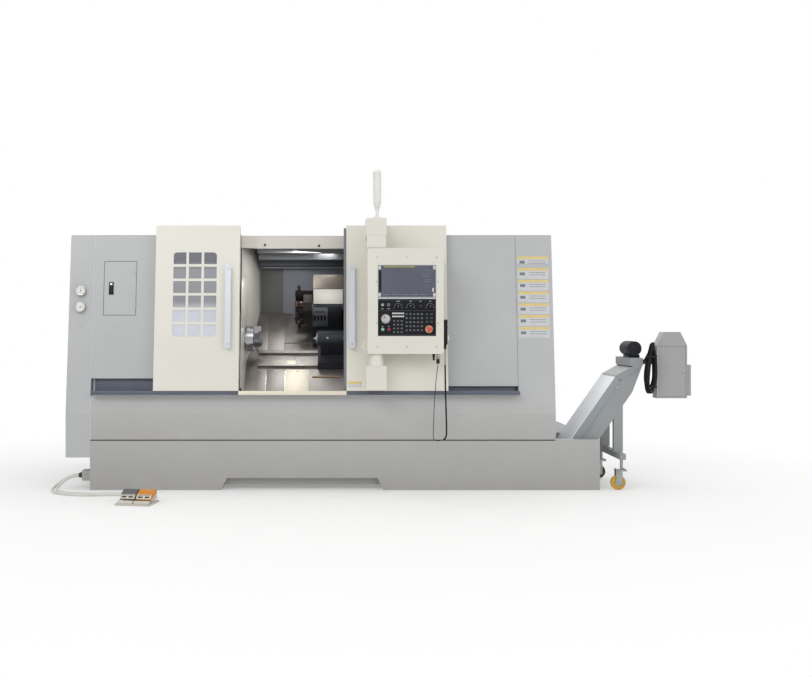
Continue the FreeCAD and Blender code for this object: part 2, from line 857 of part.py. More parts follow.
def turret_disc():
    corners = []
    radius = turret_apothem / math.cos(math.pi / turret_sides)
    for side in range(turret_sides):
        angle = (side + 0.5) * 2 * math.pi / turret_sides
        corners.append((turret_y + radius * math.cos(angle), turret_z + radius * math.sin(angle)))
    return prism_x(corners, turret_x, turret_x + turret_thick)


def tool_holders():
    blocks = []
    for index in range(holder_count):
        half = holder_width / 2
        block = box(turret_x - holder_reach, turret_y - half, turret_z + holder_inner, turret_x, turret_y + half,
                    turret_z + turret_apothem)
        shank = box(turret_x - holder_reach + 16, turret_y - 10, turret_z + turret_apothem - 1, turret_x - 24,
                    turret_y + 10, turret_z + holder_outer)
        tool = block.fuse(shank)
        tool.rotate(Vector(0, turret_y, turret_z), Vector(1, 0, 0), index * 360 / holder_count + 20)
        blocks.append(tool)
    return blocks


def tailstock_body():
    base = slope_box(tail_left, tail_low, run_gap, tail_right, tail_high, 70)
    base = grooved(base, tail_rails, tail_rail_height, tail_left, tail_right)
    web = slope_box(tail_left + 20, axis_s - tail_head, 69, tail_right - 30, axis_s + tail_head, axis_n)
    head = rod(tail_head, tail_right - tail_left, Vector(tail_left, spindle_y, spindle_z), Vector(1, 0, 0))
    bore = rod(quill_radius + run_gap, tail_right - tail_left - 40, Vector(tail_left - 1, spindle_y, spindle_z),
               Vector(1, 0, 0))
    return base.fuse([web, head]).cut(bore)


def tailstock_quill():
    collar_x = tail_left - 8
    sleeve = rod(quill_radius, 200, Vector(collar_x, spindle_y, spindle_z), Vector(1, 0, 0))
    point = Part.makeCone(2, 18, collar_x - quill_nose, Vector(quill_nose, spindle_y, spindle_z), Vector(1, 0, 0))
    return sleeve.fuse(point)


# ---- chip conveyor ----
def drawn_in(before, corner, after, depth):
    # the corner of an outline that runs anticlockwise, moved in by depth from both its edges
    into = Vector(corner - before).normalize()
    out = Vector(after - corner).normalize()
    first = Vector(-into.z, 0, into.x)
    second = Vector(-out.z, 0, out.x)
    return corner + (first + second) * (depth / (1 + first.dot(second)))


def plate_y(corners, y0, y1):
    return prism_y([(corner.x, corner.z) for corner in corners], y0, y1)


def conveyor_casing():
    # folded sheet: two side plates and the walls between them, with the mouth below the head left open
    rise = math.tan(math.radians(conveyor_deg))
    head_low_x = elbow_x + (head_low_z - trough_floor) / rise
    top_z = trough_floor + conveyor_height
    upper_x = elbow_x - conveyor_height * math.tan(math.radians(conveyor_deg / 2))
    profile = [(conveyor_left, trough_floor), (elbow_x, trough_floor), (head_low_x, head_low_z),
               (head_x, head_z - head_edge), (head_x, head_z), (head_x - head_length, head_z),
               (head_bend_x, top_z + (head_bend_x - upper_x) * rise), (upper_x, top_z), (conveyor_left, top_z)]
    mouth = 2
    tray = 7
    outer = [Vector(x, 0, z) for x, z in profile]
    inner = []
    for index, corner in enumerate(outer):
        after = outer[(index + 1) % len(outer)]
        inner.append(drawn_in(outer[index - 1], corner, after, casing_wall))
    front = conveyor_front + casing_wall
    back = conveyor_back - casing_wall
    plates = []
    for index in range(len(outer)):
        if index in (mouth, tray):
            continue
        after = (index + 1) % len(outer)
        plates.append(plate_y([outer[index], outer[after], inner[after], inner[index]], front, back))
    # the tray is open on top but for a lip at either end
    drop = Vector(0, 0, -casing_wall)
    left_lip = outer[tray + 1] + Vector(left_lip_length, 0, 0)
    right_lip = outer[tray] - Vector(right_lip_length, 0, 0)
    plates.append(plate_y([left_lip, outer[tray + 1], inner[tray + 1], left_lip + drop], front, back))
    plates.append(plate_y([outer[tray], right_lip, right_lip + drop, inner[tray]], front, back))
    level = [outer[0], outer[1], outer[tray], outer[tray + 1]]
    climb = outer[1:tray + 1]
    for y0, y1 in ((conveyor_front, front), (back, conveyor_back)):
        plates.append(plate_y(level, y0, y1))
        plates.append(plate_y(climb, y0, y1))
    return plates


def motor_mount():
    # tray of bent sheet on the conveyor's head, open at the back
    right = head_x + mount_overhang
    top = head_z + mount_height
    low = head_z + casing_wall
    high = top - casing_wall
    return [box(mount_left, conveyor_front, head_z, right, conveyor_back, low),
            box(mount_left, conveyor_front, high, right, conveyor_back, top),
            box(mount_left, conveyor_front, low, mount_left + casing_wall, conveyor_back, high),
            box(right - casing_wall, conveyor_front, low, right, conveyor_back, high),
            box(mount_left + casing_wall, conveyor_front, low, right - casing_wall,
                conveyor_front + casing_wall, high)]


def conveyor_frame():
    rise = math.tan(math.radians(conveyor_deg))
    leg_right = leg_x + leg_width
    bar_top = bar_low + bar_size
    leg = [(leg_x, bar_top), (leg_right, bar_top), (leg_right, trough_floor + (leg_right - elbow_x) * rise),
           (leg_x, trough_floor + (leg_x - elbow_x) * rise)]
    legs = [prism_y(leg, conveyor_front, conveyor_front + bar_size),
            prism_y(leg, conveyor_back - bar_size, conveyor_back)]
    bar = box(bar_x, bar_front, bar_low, bar_x + bar_size, bar_back, bar_top)
    arm_z = head_z + arm_lift
    arm = box(head_x + mount_overhang, arm_y, arm_z, box_left, arm_y + arm_width, arm_z + arm_height)
    return Part.makeCompound(conveyor_casing() + motor_mount() + legs + [bar, arm])


def conveyor_motor():
    centre_x = mount_left + 40
    top = head_z + mount_height
    foot = box(centre_x - 38, 170, top, centre_x + 42, 300, top + 20)
    barrel = rod(motor_radius, 210, Vector(centre_x, 150, top + 20 + motor_radius - 6), Vector(0, 1, 0))
    return barrel.fuse(foot)


def conveyor_control_box():
    right = box_left + box_width
    profile = [(box_left, box_low), (right, box_low), (right, box_high - box_shoulder),
               (right - box_slope, box_high), (box_left + box_slope, box_high),
               (box_left, box_high - box_shoulder)]
    case = prism_y(profile, conveyor_front, conveyor_front + box_depth)
    wall = 3.0
    hollow = [(box_left + wall, box_low + wall), (right - wall, box_low + wall),
              (right - wall, box_high - box_shoulder - wall), (right - box_slope - wall, box_high - wall),
              (box_left + box_slope + wall, box_high - wall), (box_left + wall, box_high - box_shoulder - wall)]
    case = case.cut(prism_y(hollow, conveyor_front + wall, conveyor_front + box_depth - wall))
    gland_hole = rod(12, 20, Vector(box_left + 60, conveyor_front + 50, box_low - 5), Vector(0, 0, 1))
    side_box = box(right, conveyor_front + 15, 634, right + 31, conveyor_front + 85, 847)
    return case.cut(gland_hole).fuse(side_box)


def conveyor_hank():
    # closed outer form of the tied hank of spare cable, hung from the control box
    low = 640.0
    high = 1020.0
    thick = 84.0
    left = box_left - 112
    profile = [(box_left, low + 60), (box_left - 30, low), (left + 30, low), (left, low + 70),
               (left + 26, high - 130), (box_left - 60, high), (box_left - 16, high), (box_left, high - 60)]
    hank = prism_y(profile, conveyor_front - thick + 12, conveyor_front + 12)
    return hank


def caster_fork(y):
    stem_x = bar_x + bar_size / 2
    stem = rod(10, bar_low - flange_low - run_gap, Vector(stem_x, y, flange_low), Vector(0, 0, 1))
    flange = box(stem_x - 43, y - 30, flange_low, stem_x + 30, y + 30, flange_low + flange_thick)
    inner = caster_wheel_width / 2 + 2
    fork = stem.fuse(flange)
    for side in (-1, 1):
        y0 = y + side * inner if side > 0 else y - inner - fork_leg
        leg = box(stem_x - caster_trail - 18, y0, caster_wheel_radius - 18, stem_x - caster_trail + 26,
                  y0 + fork_leg, flange_low + 1)
        fork = fork.fuse(leg)
    axle = rod(axle_radius, 2 * inner + 2, Vector(stem_x - caster_trail, y - inner - 1, caster_wheel_radius),
               Vector(0, 1, 0))
    return fork.fuse(axle)


def caster_wheel(y):
    centre = Vector(bar_x + bar_size / 2 - caster_trail, y - caster_wheel_width / 2, caster_wheel_radius)
    wheel = rod(caster_wheel_radius, caster_wheel_width, centre, Vector(0, 1, 0))
    rims = [edge for edge in wheel.Edges if edge.Length > 6 * caster_wheel_radius]
    wheel = wheel.makeFillet(5, rims)
    return wheel.cut(rod(axle_radius + run_gap, caster_wheel_width + 2, centre - Vector(0, 1, 0), Vector(0, 1, 0)))


# ---- foot switch ----
def turn_pedal(shape):
    turned = shape.copy()
    turned.rotate(Vector(pedal_x, pedal_y, 0), Vector(0, 0, 1), pedal_turn)
    return turned


treadle_width = housing_width + 2 * (treadle_wall + 3)
hinge_z = plate_thick + pivot_rise
hinge_y = pedal_y + pivot_back
pin_radius = 3.0
ear_thick = 8.0
gland_stub = 16.0


def housing_x(side):
    # middle of the left (-1) or right (+1) housing
    return pedal_x + side * (toe_width + 2 * pedal_gap) / 2


def pedal_base():
    body = box(pedal_x - plate_width / 2, pedal_y - plate_length / 2, 0, pedal_x + plate_width / 2,
               pedal_y + plate_length / 2, plate_thick)
    toe_y = pedal_y - plate_length / 2 + 15
    top = plate_thick + housing_height
    for side in (-1, 1):
        x = housing_x(side)
        toe = [(toe_y, plate_thick - 1), (toe_y, plate_thick + 6), (toe_y + 12, plate_thick + toe_height),
               (toe_y + toe_length, plate_thick + toe_height), (toe_y + toe_length, plate_thick - 1)]
        body = body.fuse(prism_x(toe, x - toe_width / 2, x + toe_width / 2))
        block = [(pedal_y - housing_front, plate_thick - 1), (pedal_y - housing_front, top - 14), (pedal_y + 24, top),
                 (pedal_y + housing_back, top), (pedal_y + housing_back, plate_thick - 1)]
        body = body.fuse(prism_x(block, x - housing_width / 2, x + housing_width / 2))
        for ear in (-1, 1):
            x0 = x + ear * 30 - ear_thick / 2
            body = body.fuse(box(x0, hinge_y - 7, top - 2, x0 + ear_thick, hinge_y + 7, hinge_z + 5))
        body = body.cut(rod(pin_radius + run_gap, 80, Vector(x - 40, hinge_y, hinge_z), Vector(1, 0, 0)))
        body = body.fuse(rod(conduit / 2 + 3, gland_stub + 1, Vector(x, pedal_y + housing_back - 1, plate_thick + 14),
                             Vector(0, 1, 0)))
    return turn_pedal(body)


def pedal(side):
    # hooded treadle, open below, turning on a pin through the housing's ears
    x = housing_x(side)
    half = treadle_width / 2
    nose_y = hinge_y - treadle_length
    low = hinge_z - 16
    outer = [(hinge_y + 14, low + 6), (hinge_y + 14, hinge_z + 12), (hinge_y - 20, hinge_z + 22),
             (nose_y + 20, low + 14), (nose_y, low - 14), (nose_y + 2, low - 20)]
    wall = treadle_wall
    inner = [(hinge_y + 14 - wall, low), (hinge_y + 14 - wall, hinge_z + 12 - wall),
             (hinge_y - 20, hinge_z + 22 - wall), (nose_y + 22, low + 14 - wall), (nose_y + 12, low - 40)]
    hood = prism_x(outer, x - half, x + half)
    hood = hood.cut(prism_x(inner, x - half + wall, x + half - wall))
    pin = rod(pin_radius, treadle_width - 2 * wall + 2, Vector(x - half + wall - 1, hinge_y, hinge_z), Vector(1, 0, 0))
    return turn_pedal(hood.fuse(pin))


def conduit_end(side):
    # where a conduit enters its housing, on the turned foot switch
    spot = Part.Vertex(housing_x(side), pedal_y + housing_back + gland_stub, plate_thick + 14)
    return turn_pedal(spot).Point


# ---- glands and gauges ----
def cable_bracket():
    bracket = box(body_left - bracket_reach, bracket_front, bracket_low, body_left, bracket_back, bracket_high)
    bracket = bracket.cut(box(body_left - bracket_reach + 3, bracket_front + 3, bracket_low - 1, body_left - 3,
                              bracket_back - 3, bracket_high - 3))
    for y in gland_places:
        bracket = bracket.fuse(rod(gland_radius, gland_length, Vector(body_left - bracket_reach + 1, y, gland_z),
                                   Vector(-1, 0, 0)))
    return bracket


def pressure_gauges():
    gauges = []
    out = Vector(0, -math.cos(math.radians(lean_deg)), math.sin(math.radians(lean_deg)))
    for z in gauge_heights:
        gauge = rod(gauge_radius, gauge_depth, Vector(gauge_x, front_y(z), z), out)
        gauges.append(gauge)
    return gauges


# ---- cords ----
gland_end = body_left - bracket_reach + 1 - gland_length
left_entry = conduit_end(-1)
right_entry = conduit_end(1)
pedal_cable_1_route = [
    (gland_end, gland_places[0], gland_z), (-1800, 43, 90), (-1846, 26, 66), (-1876, -12, 36),
    (-1882, -66, 15), (-1862, -124, 10), (-1812, -176, 10), (-1744, -212, 10), (-1664, -230, 10),
    (-1580, -230, 10), (-1500, -220, 10), (-1420, -222, 10), (-1350, -226, 10), (-1276, -234, 10),
    (-1216, -256, 10), (-1176, -302, 10), (-1163, -362, 13), (-1169.8, -421.9, 20),
    (right_entry.x, right_entry.y, right_entry.z)]
pedal_cable_2_route = [
    (gland_end, gland_places[1], gland_z), (-1808, 86, 89), (-1862, 72, 64), (-1902, 32, 34),
    (-1918, -30, 14), (-1908, -100, 10), (-1872, -166, 10), (-1812, -222, 10), (-1736, -262, 10),
    (-1650, -278, 10), (-1566, -272, 10), (-1480, -260, 10), (-1400, -258, 10), (-1340, -268, 10),
    (-1296, -300, 10), (-1270, -354, 12), (-1274, -408, 18),
    (left_entry.x, left_entry.y, left_entry.z)]
curl_diameter = 12.5
lead_diameter = 6.0
curl_top = pendant_low - 33
cord_y = pivot_y
pendant_curl_route = [
    (console_right + pendant_thick / 2, cord_y, curl_top), (727, cord_y, 840), (729, cord_y, 700),
    (733, cord_y, 570), (736, cord_y, 460), (737, cord_y, 376), (712, cord_y, 351.5), (678, cord_y, 351)]
pendant_lead_route = [
    (678, cord_y, 351), (661, cord_y, 351.7), (648.5, cord_y, 364.5), (647.5, cord_y, 384),
    (648.5, cord_y, 420), (651, cord_y, 485), (653, cord_y, 560), (658, cord_y, 640), (664, cord_y, 720),
    (670, cord_y, 790), (676.5, cord_y, 835), (plug_x, cord_y, plug_low)]


# ---- the whole set ----
def build():
    parts["machine_base"] = machine_base()
    parts["slant_bed"] = slant_bed()
    parts["front_skirt"] = front_skirt()
    parts["left_end_cover"] = left_end_cover()
    parts["left_front_cover"] = left_front_cover()
    parts["right_front_cover"] = right_front_cover()
    parts["right_end_cover"] = right_end_cover()
    parts["roof_cover"] = roof_cover()
    parts["rear_cover"] = rear_cover()
    parts["header_beam"] = header_beam()
    parts["inner_liner"] = inner_liner()
    parts["headstock_guard"] = headstock_guard()
    parts["headstock"] = headstock()
    parts["main_motor"] = main_motor()
    parts["left_door_shell"] = door_shell(opening_left - left_door_width, left_door_width, window_cells())
    parts["left_door_window"] = left_door_window()
    parts["left_door_handle"] = bar_handle(left_handle_x)
    parts["right_door_shell"] = door_shell(opening_right, right_door_width, [])
    parts["right_door_handle"] = bar_handle(right_handle_x)
    parts["access_door"] = access_door()
    parts["console_bracket"] = console_bracket()
    parts["console_body"] = console_body()
    parts["console_screen"] = panel_plate(screen_low, screen_high)
    parts["key_panel"] = key_panel()
    parts["handwheel"] = handwheel()
    for number, (x, z) in enumerate(knob_places, 1):
        parts["selector_knob_%d" % number] = selector_knob(x, z)
    parts["estop_button"] = estop_button()
    parts["start_button"] = push_button(start_x)
    parts["stop_button"] = push_button(stop_x)
    parts["signal_tower"] = signal_tower()
    parts["pendant_box"] = pendant_box()
    parts["pendant_dial"] = pendant_dial()
    parts["spindle"] = spindle()
    parts["chuck_body"] = chuck_body()
    for jaw in range(jaw_count):
        parts["chuck_jaw_%d" % (jaw + 1)] = chuck_jaw(jaw)
    parts["saddle"] = saddle()
    parts["turret_body"] = turret_body()
    parts["turret_disc"] = Part.makeCompound([turret_disc()] + tool_holders())
    parts["tailstock_body"] = tailstock_body()
    parts["tailstock_quill"] = tailstock_quill()
    parts["conveyor_frame"] = conveyor_frame()
    parts["conveyor_motor"] = conveyor_motor()
    parts["conveyor_control_box"] = conveyor_control_box()
    parts["conveyor_hank"] = conveyor_hank()
    for name, y in zip(("front", "rear"), caster_places):
        parts["caster_fork_" + name] = caster_fork(y)
        parts["caster_wheel_" + name] = caster_wheel(y)
    parts["pedal_base"] = pedal_base()
    parts["pedal_left"] = pedal(-1)
    parts["pedal_right"] = pedal(1)
    parts["cable_bracket"] = cable_bracket()
    parts["pressure_gauges"] = Part.makeCompound(pressure_gauges())
    parts["pedal_cable_1"] = route_tube("pedal_cable_1", pedal_cable_1_route, conduit)
    parts["pedal_cable_2"] = route_tube("pedal_cable_2", pedal_cable_2_route, conduit)
    parts["pendant_curl"] = route_tube("pendant_curl", pendant_curl_route, curl_diameter)
    parts["pendant_lead"] = route_tube("pendant_lead", pendant_lead_route, lead_diameter)
    cords.extend(["pedal_cable_1", "pedal_cable_2", "pendant_curl", "pendant_lead", "conveyor_hank"])


def middle():
    # the floor point under the middle of everything but the cords
    bounds = FreeCAD.BoundBox()
    for name, shape in parts.items():
        if name not in cords:
            bounds.add(shape.optimalBoundingBox(False, False))
    return Vector(bounds.Center.x, bounds.Center.y, bounds.ZMin)


build()
origin = middle()
print("origin", origin, "nodes", len(parts))
os.makedirs("parts", exist_ok=True)
for name, shape in parts.items():
    placed = shape.copy()
    placed.translate(origin * -1)
    placed.exportStep("parts/%s.step" % name)
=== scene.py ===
import bpy
import math
from mathutils import Matrix, Vector


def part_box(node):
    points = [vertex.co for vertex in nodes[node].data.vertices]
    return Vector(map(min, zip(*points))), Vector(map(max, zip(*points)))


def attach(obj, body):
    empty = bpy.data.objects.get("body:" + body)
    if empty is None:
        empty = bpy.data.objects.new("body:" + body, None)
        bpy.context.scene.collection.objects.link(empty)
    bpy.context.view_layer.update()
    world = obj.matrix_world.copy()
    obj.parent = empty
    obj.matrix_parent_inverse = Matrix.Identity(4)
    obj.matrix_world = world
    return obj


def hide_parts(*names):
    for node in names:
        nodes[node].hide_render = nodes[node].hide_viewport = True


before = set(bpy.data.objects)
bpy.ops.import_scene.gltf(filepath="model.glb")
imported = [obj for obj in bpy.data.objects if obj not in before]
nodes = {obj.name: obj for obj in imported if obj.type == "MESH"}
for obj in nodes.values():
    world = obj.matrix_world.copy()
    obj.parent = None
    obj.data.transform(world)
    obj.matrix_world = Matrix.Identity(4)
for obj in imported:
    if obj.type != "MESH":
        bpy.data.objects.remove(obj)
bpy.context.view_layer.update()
print("frame loaded,", len(nodes), "nodes")

# the machine's own frame: x from the line the camera looks along, y from the skirt, z from the floor
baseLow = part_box("machine_base")[0]
baseLeft = -1.673


def at(x, y, z):
    return Vector((x - baseLeft + baseLow[0], y + baseLow[1], z))


# the front leans back from leanStart up
leanStart = 0.517
leanAngle = math.radians(7.6)


def leanAt(x, v, w):
    # v behind the leaning front, w up along it
    y = v * math.cos(leanAngle) + w * math.sin(leanAngle)
    z = leanStart - v * math.sin(leanAngle) + w * math.cos(leanAngle)
    return at(x, y, z)


leanTurn = Matrix.Rotation(-leanAngle, 4, "X")


def clearAll():
    if bpy.context.mode != "OBJECT":
        bpy.ops.object.mode_set(mode="OBJECT")
    bpy.ops.object.select_all(action="DESELECT")


def pick(piece):
    clearAll()
    piece.select_set(True)
    bpy.context.view_layer.objects.active = piece


def applyPlace(piece):
    pick(piece)
    bpy.ops.object.transform_apply(location=True, rotation=True, scale=True)


def placeAt(piece, place):
    # moves a piece and keeps its new place in its mesh
    piece.matrix_world = place
    applyPlace(piece)
    return piece


def smooth(degrees=35):
    bpy.ops.object.shade_smooth_by_angle(angle=math.radians(degrees))


def editAll():
    bpy.ops.object.mode_set(mode="EDIT")
    bpy.ops.mesh.select_all(action="SELECT")


def leaveEdit():
    bpy.ops.object.mode_set(mode="OBJECT")


bevelProfile = 0.7
mergeGap = 0.00002
layAlongX = Matrix.Rotation(math.pi / 2, 4, "Y")
layAlongY = Matrix.Rotation(math.pi / 2, 4, "X")


def addModifier(piece, kind, **settings):
    pick(piece)
    mod = piece.modifiers.new(kind.title(), kind)
    for key, value in settings.items():
        setattr(mod, key, value)
    bpy.ops.object.modifier_apply(modifier=mod.name)


def name(piece, title):
    piece.name = title
    piece.data.name = title
    return piece


def slab(title, centre, size, bevel=0.001, tilt=None, segments=2):
    # a block with eased edges, centred where told, turned by tilt about its centre
    clearAll()
    bpy.ops.mesh.primitive_cube_add(size=1, location=(0, 0, 0))
    piece = name(bpy.context.object, title)
    piece.scale = size
    applyPlace(piece)
    if bevel:
        editAll()
        bpy.ops.mesh.bevel(offset=bevel, segments=segments, profile=bevelProfile, affect="EDGES")
        leaveEdit()
    placeAt(piece, Matrix.Translation(centre) @ (tilt or Matrix()))
    smooth()
    return piece


def disc(title, centre, radius, depth, axis="Y", bevel=0.001, sides=32, tilt=None):
    # a short round piece lying along an axis
    clearAll()
    bpy.ops.mesh.primitive_cylinder_add(vertices=sides, radius=radius, depth=depth, location=(0, 0, 0))
    piece = name(bpy.context.object, title)
    bpy.ops.object.mode_set(mode="EDIT")
    bpy.ops.mesh.select_all(action="DESELECT")
    leaveEdit()
    for face in piece.data.polygons:
        face.select = abs(face.normal.z) > 0.9
    bpy.ops.object.mode_set(mode="EDIT")
    bpy.ops.mesh.select_mode(type="FACE")
    bpy.ops.mesh.region_to_loop()
    if bevel:
        bpy.ops.mesh.bevel(offset=bevel, segments=2, profile=bevelProfile, affect="EDGES")
    leaveEdit()
    turn = {"X": layAlongX, "Y": layAlongY, "Z": Matrix()}[axis]
    placeAt(piece, Matrix.Translation(centre) @ (tilt or Matrix()) @ turn)
    smooth()
    return piece


def hoop(title, major, minor, around, section):
    clearAll()
    bpy.ops.mesh.primitive_torus_add(major_radius=major, minor_radius=minor, major_segments=around,
                                     minor_segments=section)
    return name(bpy.context.object, title)


def outlined(title, points, edges, faces=()):
    # an upright outline, left open for editing
    mesh = bpy.data.meshes.new(title)
    mesh.from_pydata([(across, 0, up) for across, up in points], edges, faces)
    piece = bpy.data.objects.new(title, mesh)
    bpy.context.scene.collection.objects.link(piece)
    pick(piece)
    editAll()
    return piece


def closeUp():
    bpy.ops.mesh.select_all(action="SELECT")
    bpy.ops.mesh.normals_make_consistent(inside=False)
    leaveEdit()


def turned(title, points, edges, place, sides=64):
    # an outline spun about its axis, which then lies along x
    piece = outlined(title, points, edges)
    bpy.ops.mesh.spin(steps=sides, angle=2 * math.pi, center=(0, 0, 0), axis=(0, 0, 1))
    bpy.ops.mesh.select_all(action="SELECT")
    bpy.ops.mesh.remove_doubles(threshold=mergeGap)
    closeUp()
    return placeAt(piece, Matrix.Translation(place) @ layAlongX)


def join(title, pieces):
    clearAll()
    for piece in pieces:
        piece.select_set(True)
    bpy.context.view_layer.objects.active = pieces[0]
    if len(pieces) > 1:
        bpy.ops.object.join()
    return name(bpy.context.object, title)


def settle(piece, body):
    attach(piece, body)
    return piece


def finishAs(piece, look, body):
    piece.data.materials.clear()
    piece.data.materials.append(looks[look])
    return settle(piece, body)


def putTogether(title, pieces, look, body):
    return finishAs(join(title, pieces), look, body)


def linear(r, g, b):
    # a screen colour out of 255 as linear light
    out = []
    for value in (r, g, b):
        c = value / 255
        out.append(c / 12.92 if c <= 0.04045 else ((c + 0.055) / 1.055) ** 2.4)
    return (out[0], out[1], out[2], 1.0)


def newGroup(title, inputs, outputs):
    group = bpy.data.node_groups.new(title, "ShaderNodeTree")
    for label, kind, value in inputs:
        socket = group.interface.new_socket(name=label, in_out="INPUT", socket_type="NodeSocket" + kind)
        if value is not None:
            socket.default_value = value
    for label, kind in outputs:
        group.interface.new_socket(name=label, in_out="OUTPUT", socket_type="NodeSocket" + kind)
    return group, group.nodes.new("NodeGroupInput").outputs, group.nodes.new("NodeGroupOutput")


def feed(tree, node, values, links):
    # sets a node's own values and wires what feeds it
    for socket, value in values.items():
        node.inputs[socket].default_value = value
    for socket, source in links.items():
        tree.links.new(source, node.inputs[socket])


def addNode(tree, kind, values, links, **settings):
    node = tree.nodes.new("ShaderNode" + kind)
    for key, value in settings.items():
        setattr(node, key, value)
    feed(tree, node, values, links)
    return node.outputs


def addMath(tree, operation, values, links):
    return addNode(tree, "Math", values, links, operation=operation)[0]


def objectPlace(tree):
    return addNode(tree, "TexCoord", {}, {})["Object"]


def cloudGroup():
    # slow unevenness in a coat's tone and gloss
    inputs = [("Color", "Color", None), ("Scale", "Float", 3.0), ("Amount", "Float", 0.08),
              ("Gloss", "Float", 0.4)]
    group, start, end = newGroup("slowClouds", inputs, [("Color", "Color"), ("Roughness", "Float")])
    noise = addNode(group, "TexNoise", {"Detail": 5},
                    {"Vector": objectPlace(group), "Scale": start["Scale"]})
    spread = addNode(group, "MapRange", {"From Min": 0.3, "From Max": 0.7, "To Min": -1, "To Max": 1},
                     {"Value": noise["Fac"]})
    scale = addMath(group, "MULTIPLY", {}, {0: spread["Result"], 1: start["Amount"]})
    bright = addMath(group, "ADD", {1: 1}, {0: scale})
    tone = addNode(group, "HueSaturation", {}, {"Value": bright, "Color": start["Color"]})
    gloss = addMath(group, "MULTIPLY_ADD", {1: 0.5}, {0: scale, 2: start["Gloss"]})
    feed(group, end, {}, {"Color": tone["Color"], "Roughness": gloss})
    return group


def dustGroup():
    # workshop dust that gathers towards the floor
    inputs = [("Color", "Color", None), ("Dust", "Color", None), ("Reach", "Float", 0.25),
              ("Amount", "Float", 0.3)]
    group, start, end = newGroup("floorDust", inputs, [("Color", "Color"), ("Mask", "Float")])
    place = objectPlace(group)
    split = addNode(group, "SeparateXYZ", {}, {0: place})
    fade = addNode(group, "MapRange", {"From Min": 0, "To Min": 1, "To Max": 0},
                   {"Value": split["Z"], "From Max": start["Reach"]})
    noise = addNode(group, "TexNoise", {"Scale": 9, "Detail": 8}, {"Vector": place})
    calm = addMath(group, "MULTIPLY_ADD", {1: 0.3, 2: 0.35}, {0: noise["Fac"]})
    low = addMath(group, "MULTIPLY", {}, {0: fade["Result"], 1: calm})
    strength = addMath(group, "MULTIPLY", {}, {0: low, 1: start["Amount"]})
    mix = addNode(group, "Mix", {}, {"Factor": strength, "A": start["Color"], "B": start["Dust"]},
                  data_type="RGBA")
    feed(group, end, {}, {"Color": mix["Result"], "Mask": strength})
    return group


def grainGroup():
    # fine surface relief: orange peel on paint, moulded grain on plastic, lines on brushed metal
    inputs = [("Scale", "Float", 400.0), ("Along", "Vector", (1, 1, 1))]
    group, start, end = newGroup("fineGrain", inputs, [("Height", "Float")])
    stretch = addNode(group, "VectorMath", {}, {0: objectPlace(group), 1: start["Along"]},
                      operation="MULTIPLY")
    noise = addNode(group, "TexNoise", {"Detail": 3}, {"Vector": stretch[0], "Scale": start["Scale"]})
    feed(group, end, {}, {"Height": noise["Fac"]})
    return group


clouds = cloudGroup()
dust = dustGroup()
grain = grainGroup()


coatGloss = 0.12
grainDepth = 0.0004
dustColor = linear(118, 110, 98)


def finish(title, color, rough, metal=0.0, tone=0.05, cloudScale=3.0, grainScale=350.0, along=(1, 1, 1),
           relief=0.02,
           coat=0.0, dusty=0.0, reach=0.3, shine=0.5, alpha=1.0):
    material = bpy.data.materials.new(title)
    material.use_nodes = True
    tree = material.node_tree
    base = addNode(tree, "Group", {"Color": color, "Scale": cloudScale, "Amount": tone, "Gloss": rough}, {},
                   node_tree=clouds)
    last = base["Color"]
    if dusty:
        last = addNode(tree, "Group", {"Dust": dustColor, "Reach": reach, "Amount": dusty}, {"Color": last},
                       node_tree=dust)["Color"]
    fine = addNode(tree, "Group", {"Scale": grainScale, "Along": along}, {}, node_tree=grain)
    bump = addNode(tree, "Bump", {"Strength": relief * 10, "Distance": grainDepth},
                   {"Height": fine["Height"]})
    feed(tree, tree.nodes["Principled BSDF"],
         {"Metallic": metal, "Coat Weight": coat, "Coat Roughness": coatGloss, "Specular IOR Level": shine,
          "Alpha": alpha},
         {"Base Color": last, "Roughness": base["Roughness"], "Normal": bump["Normal"]})
    return material


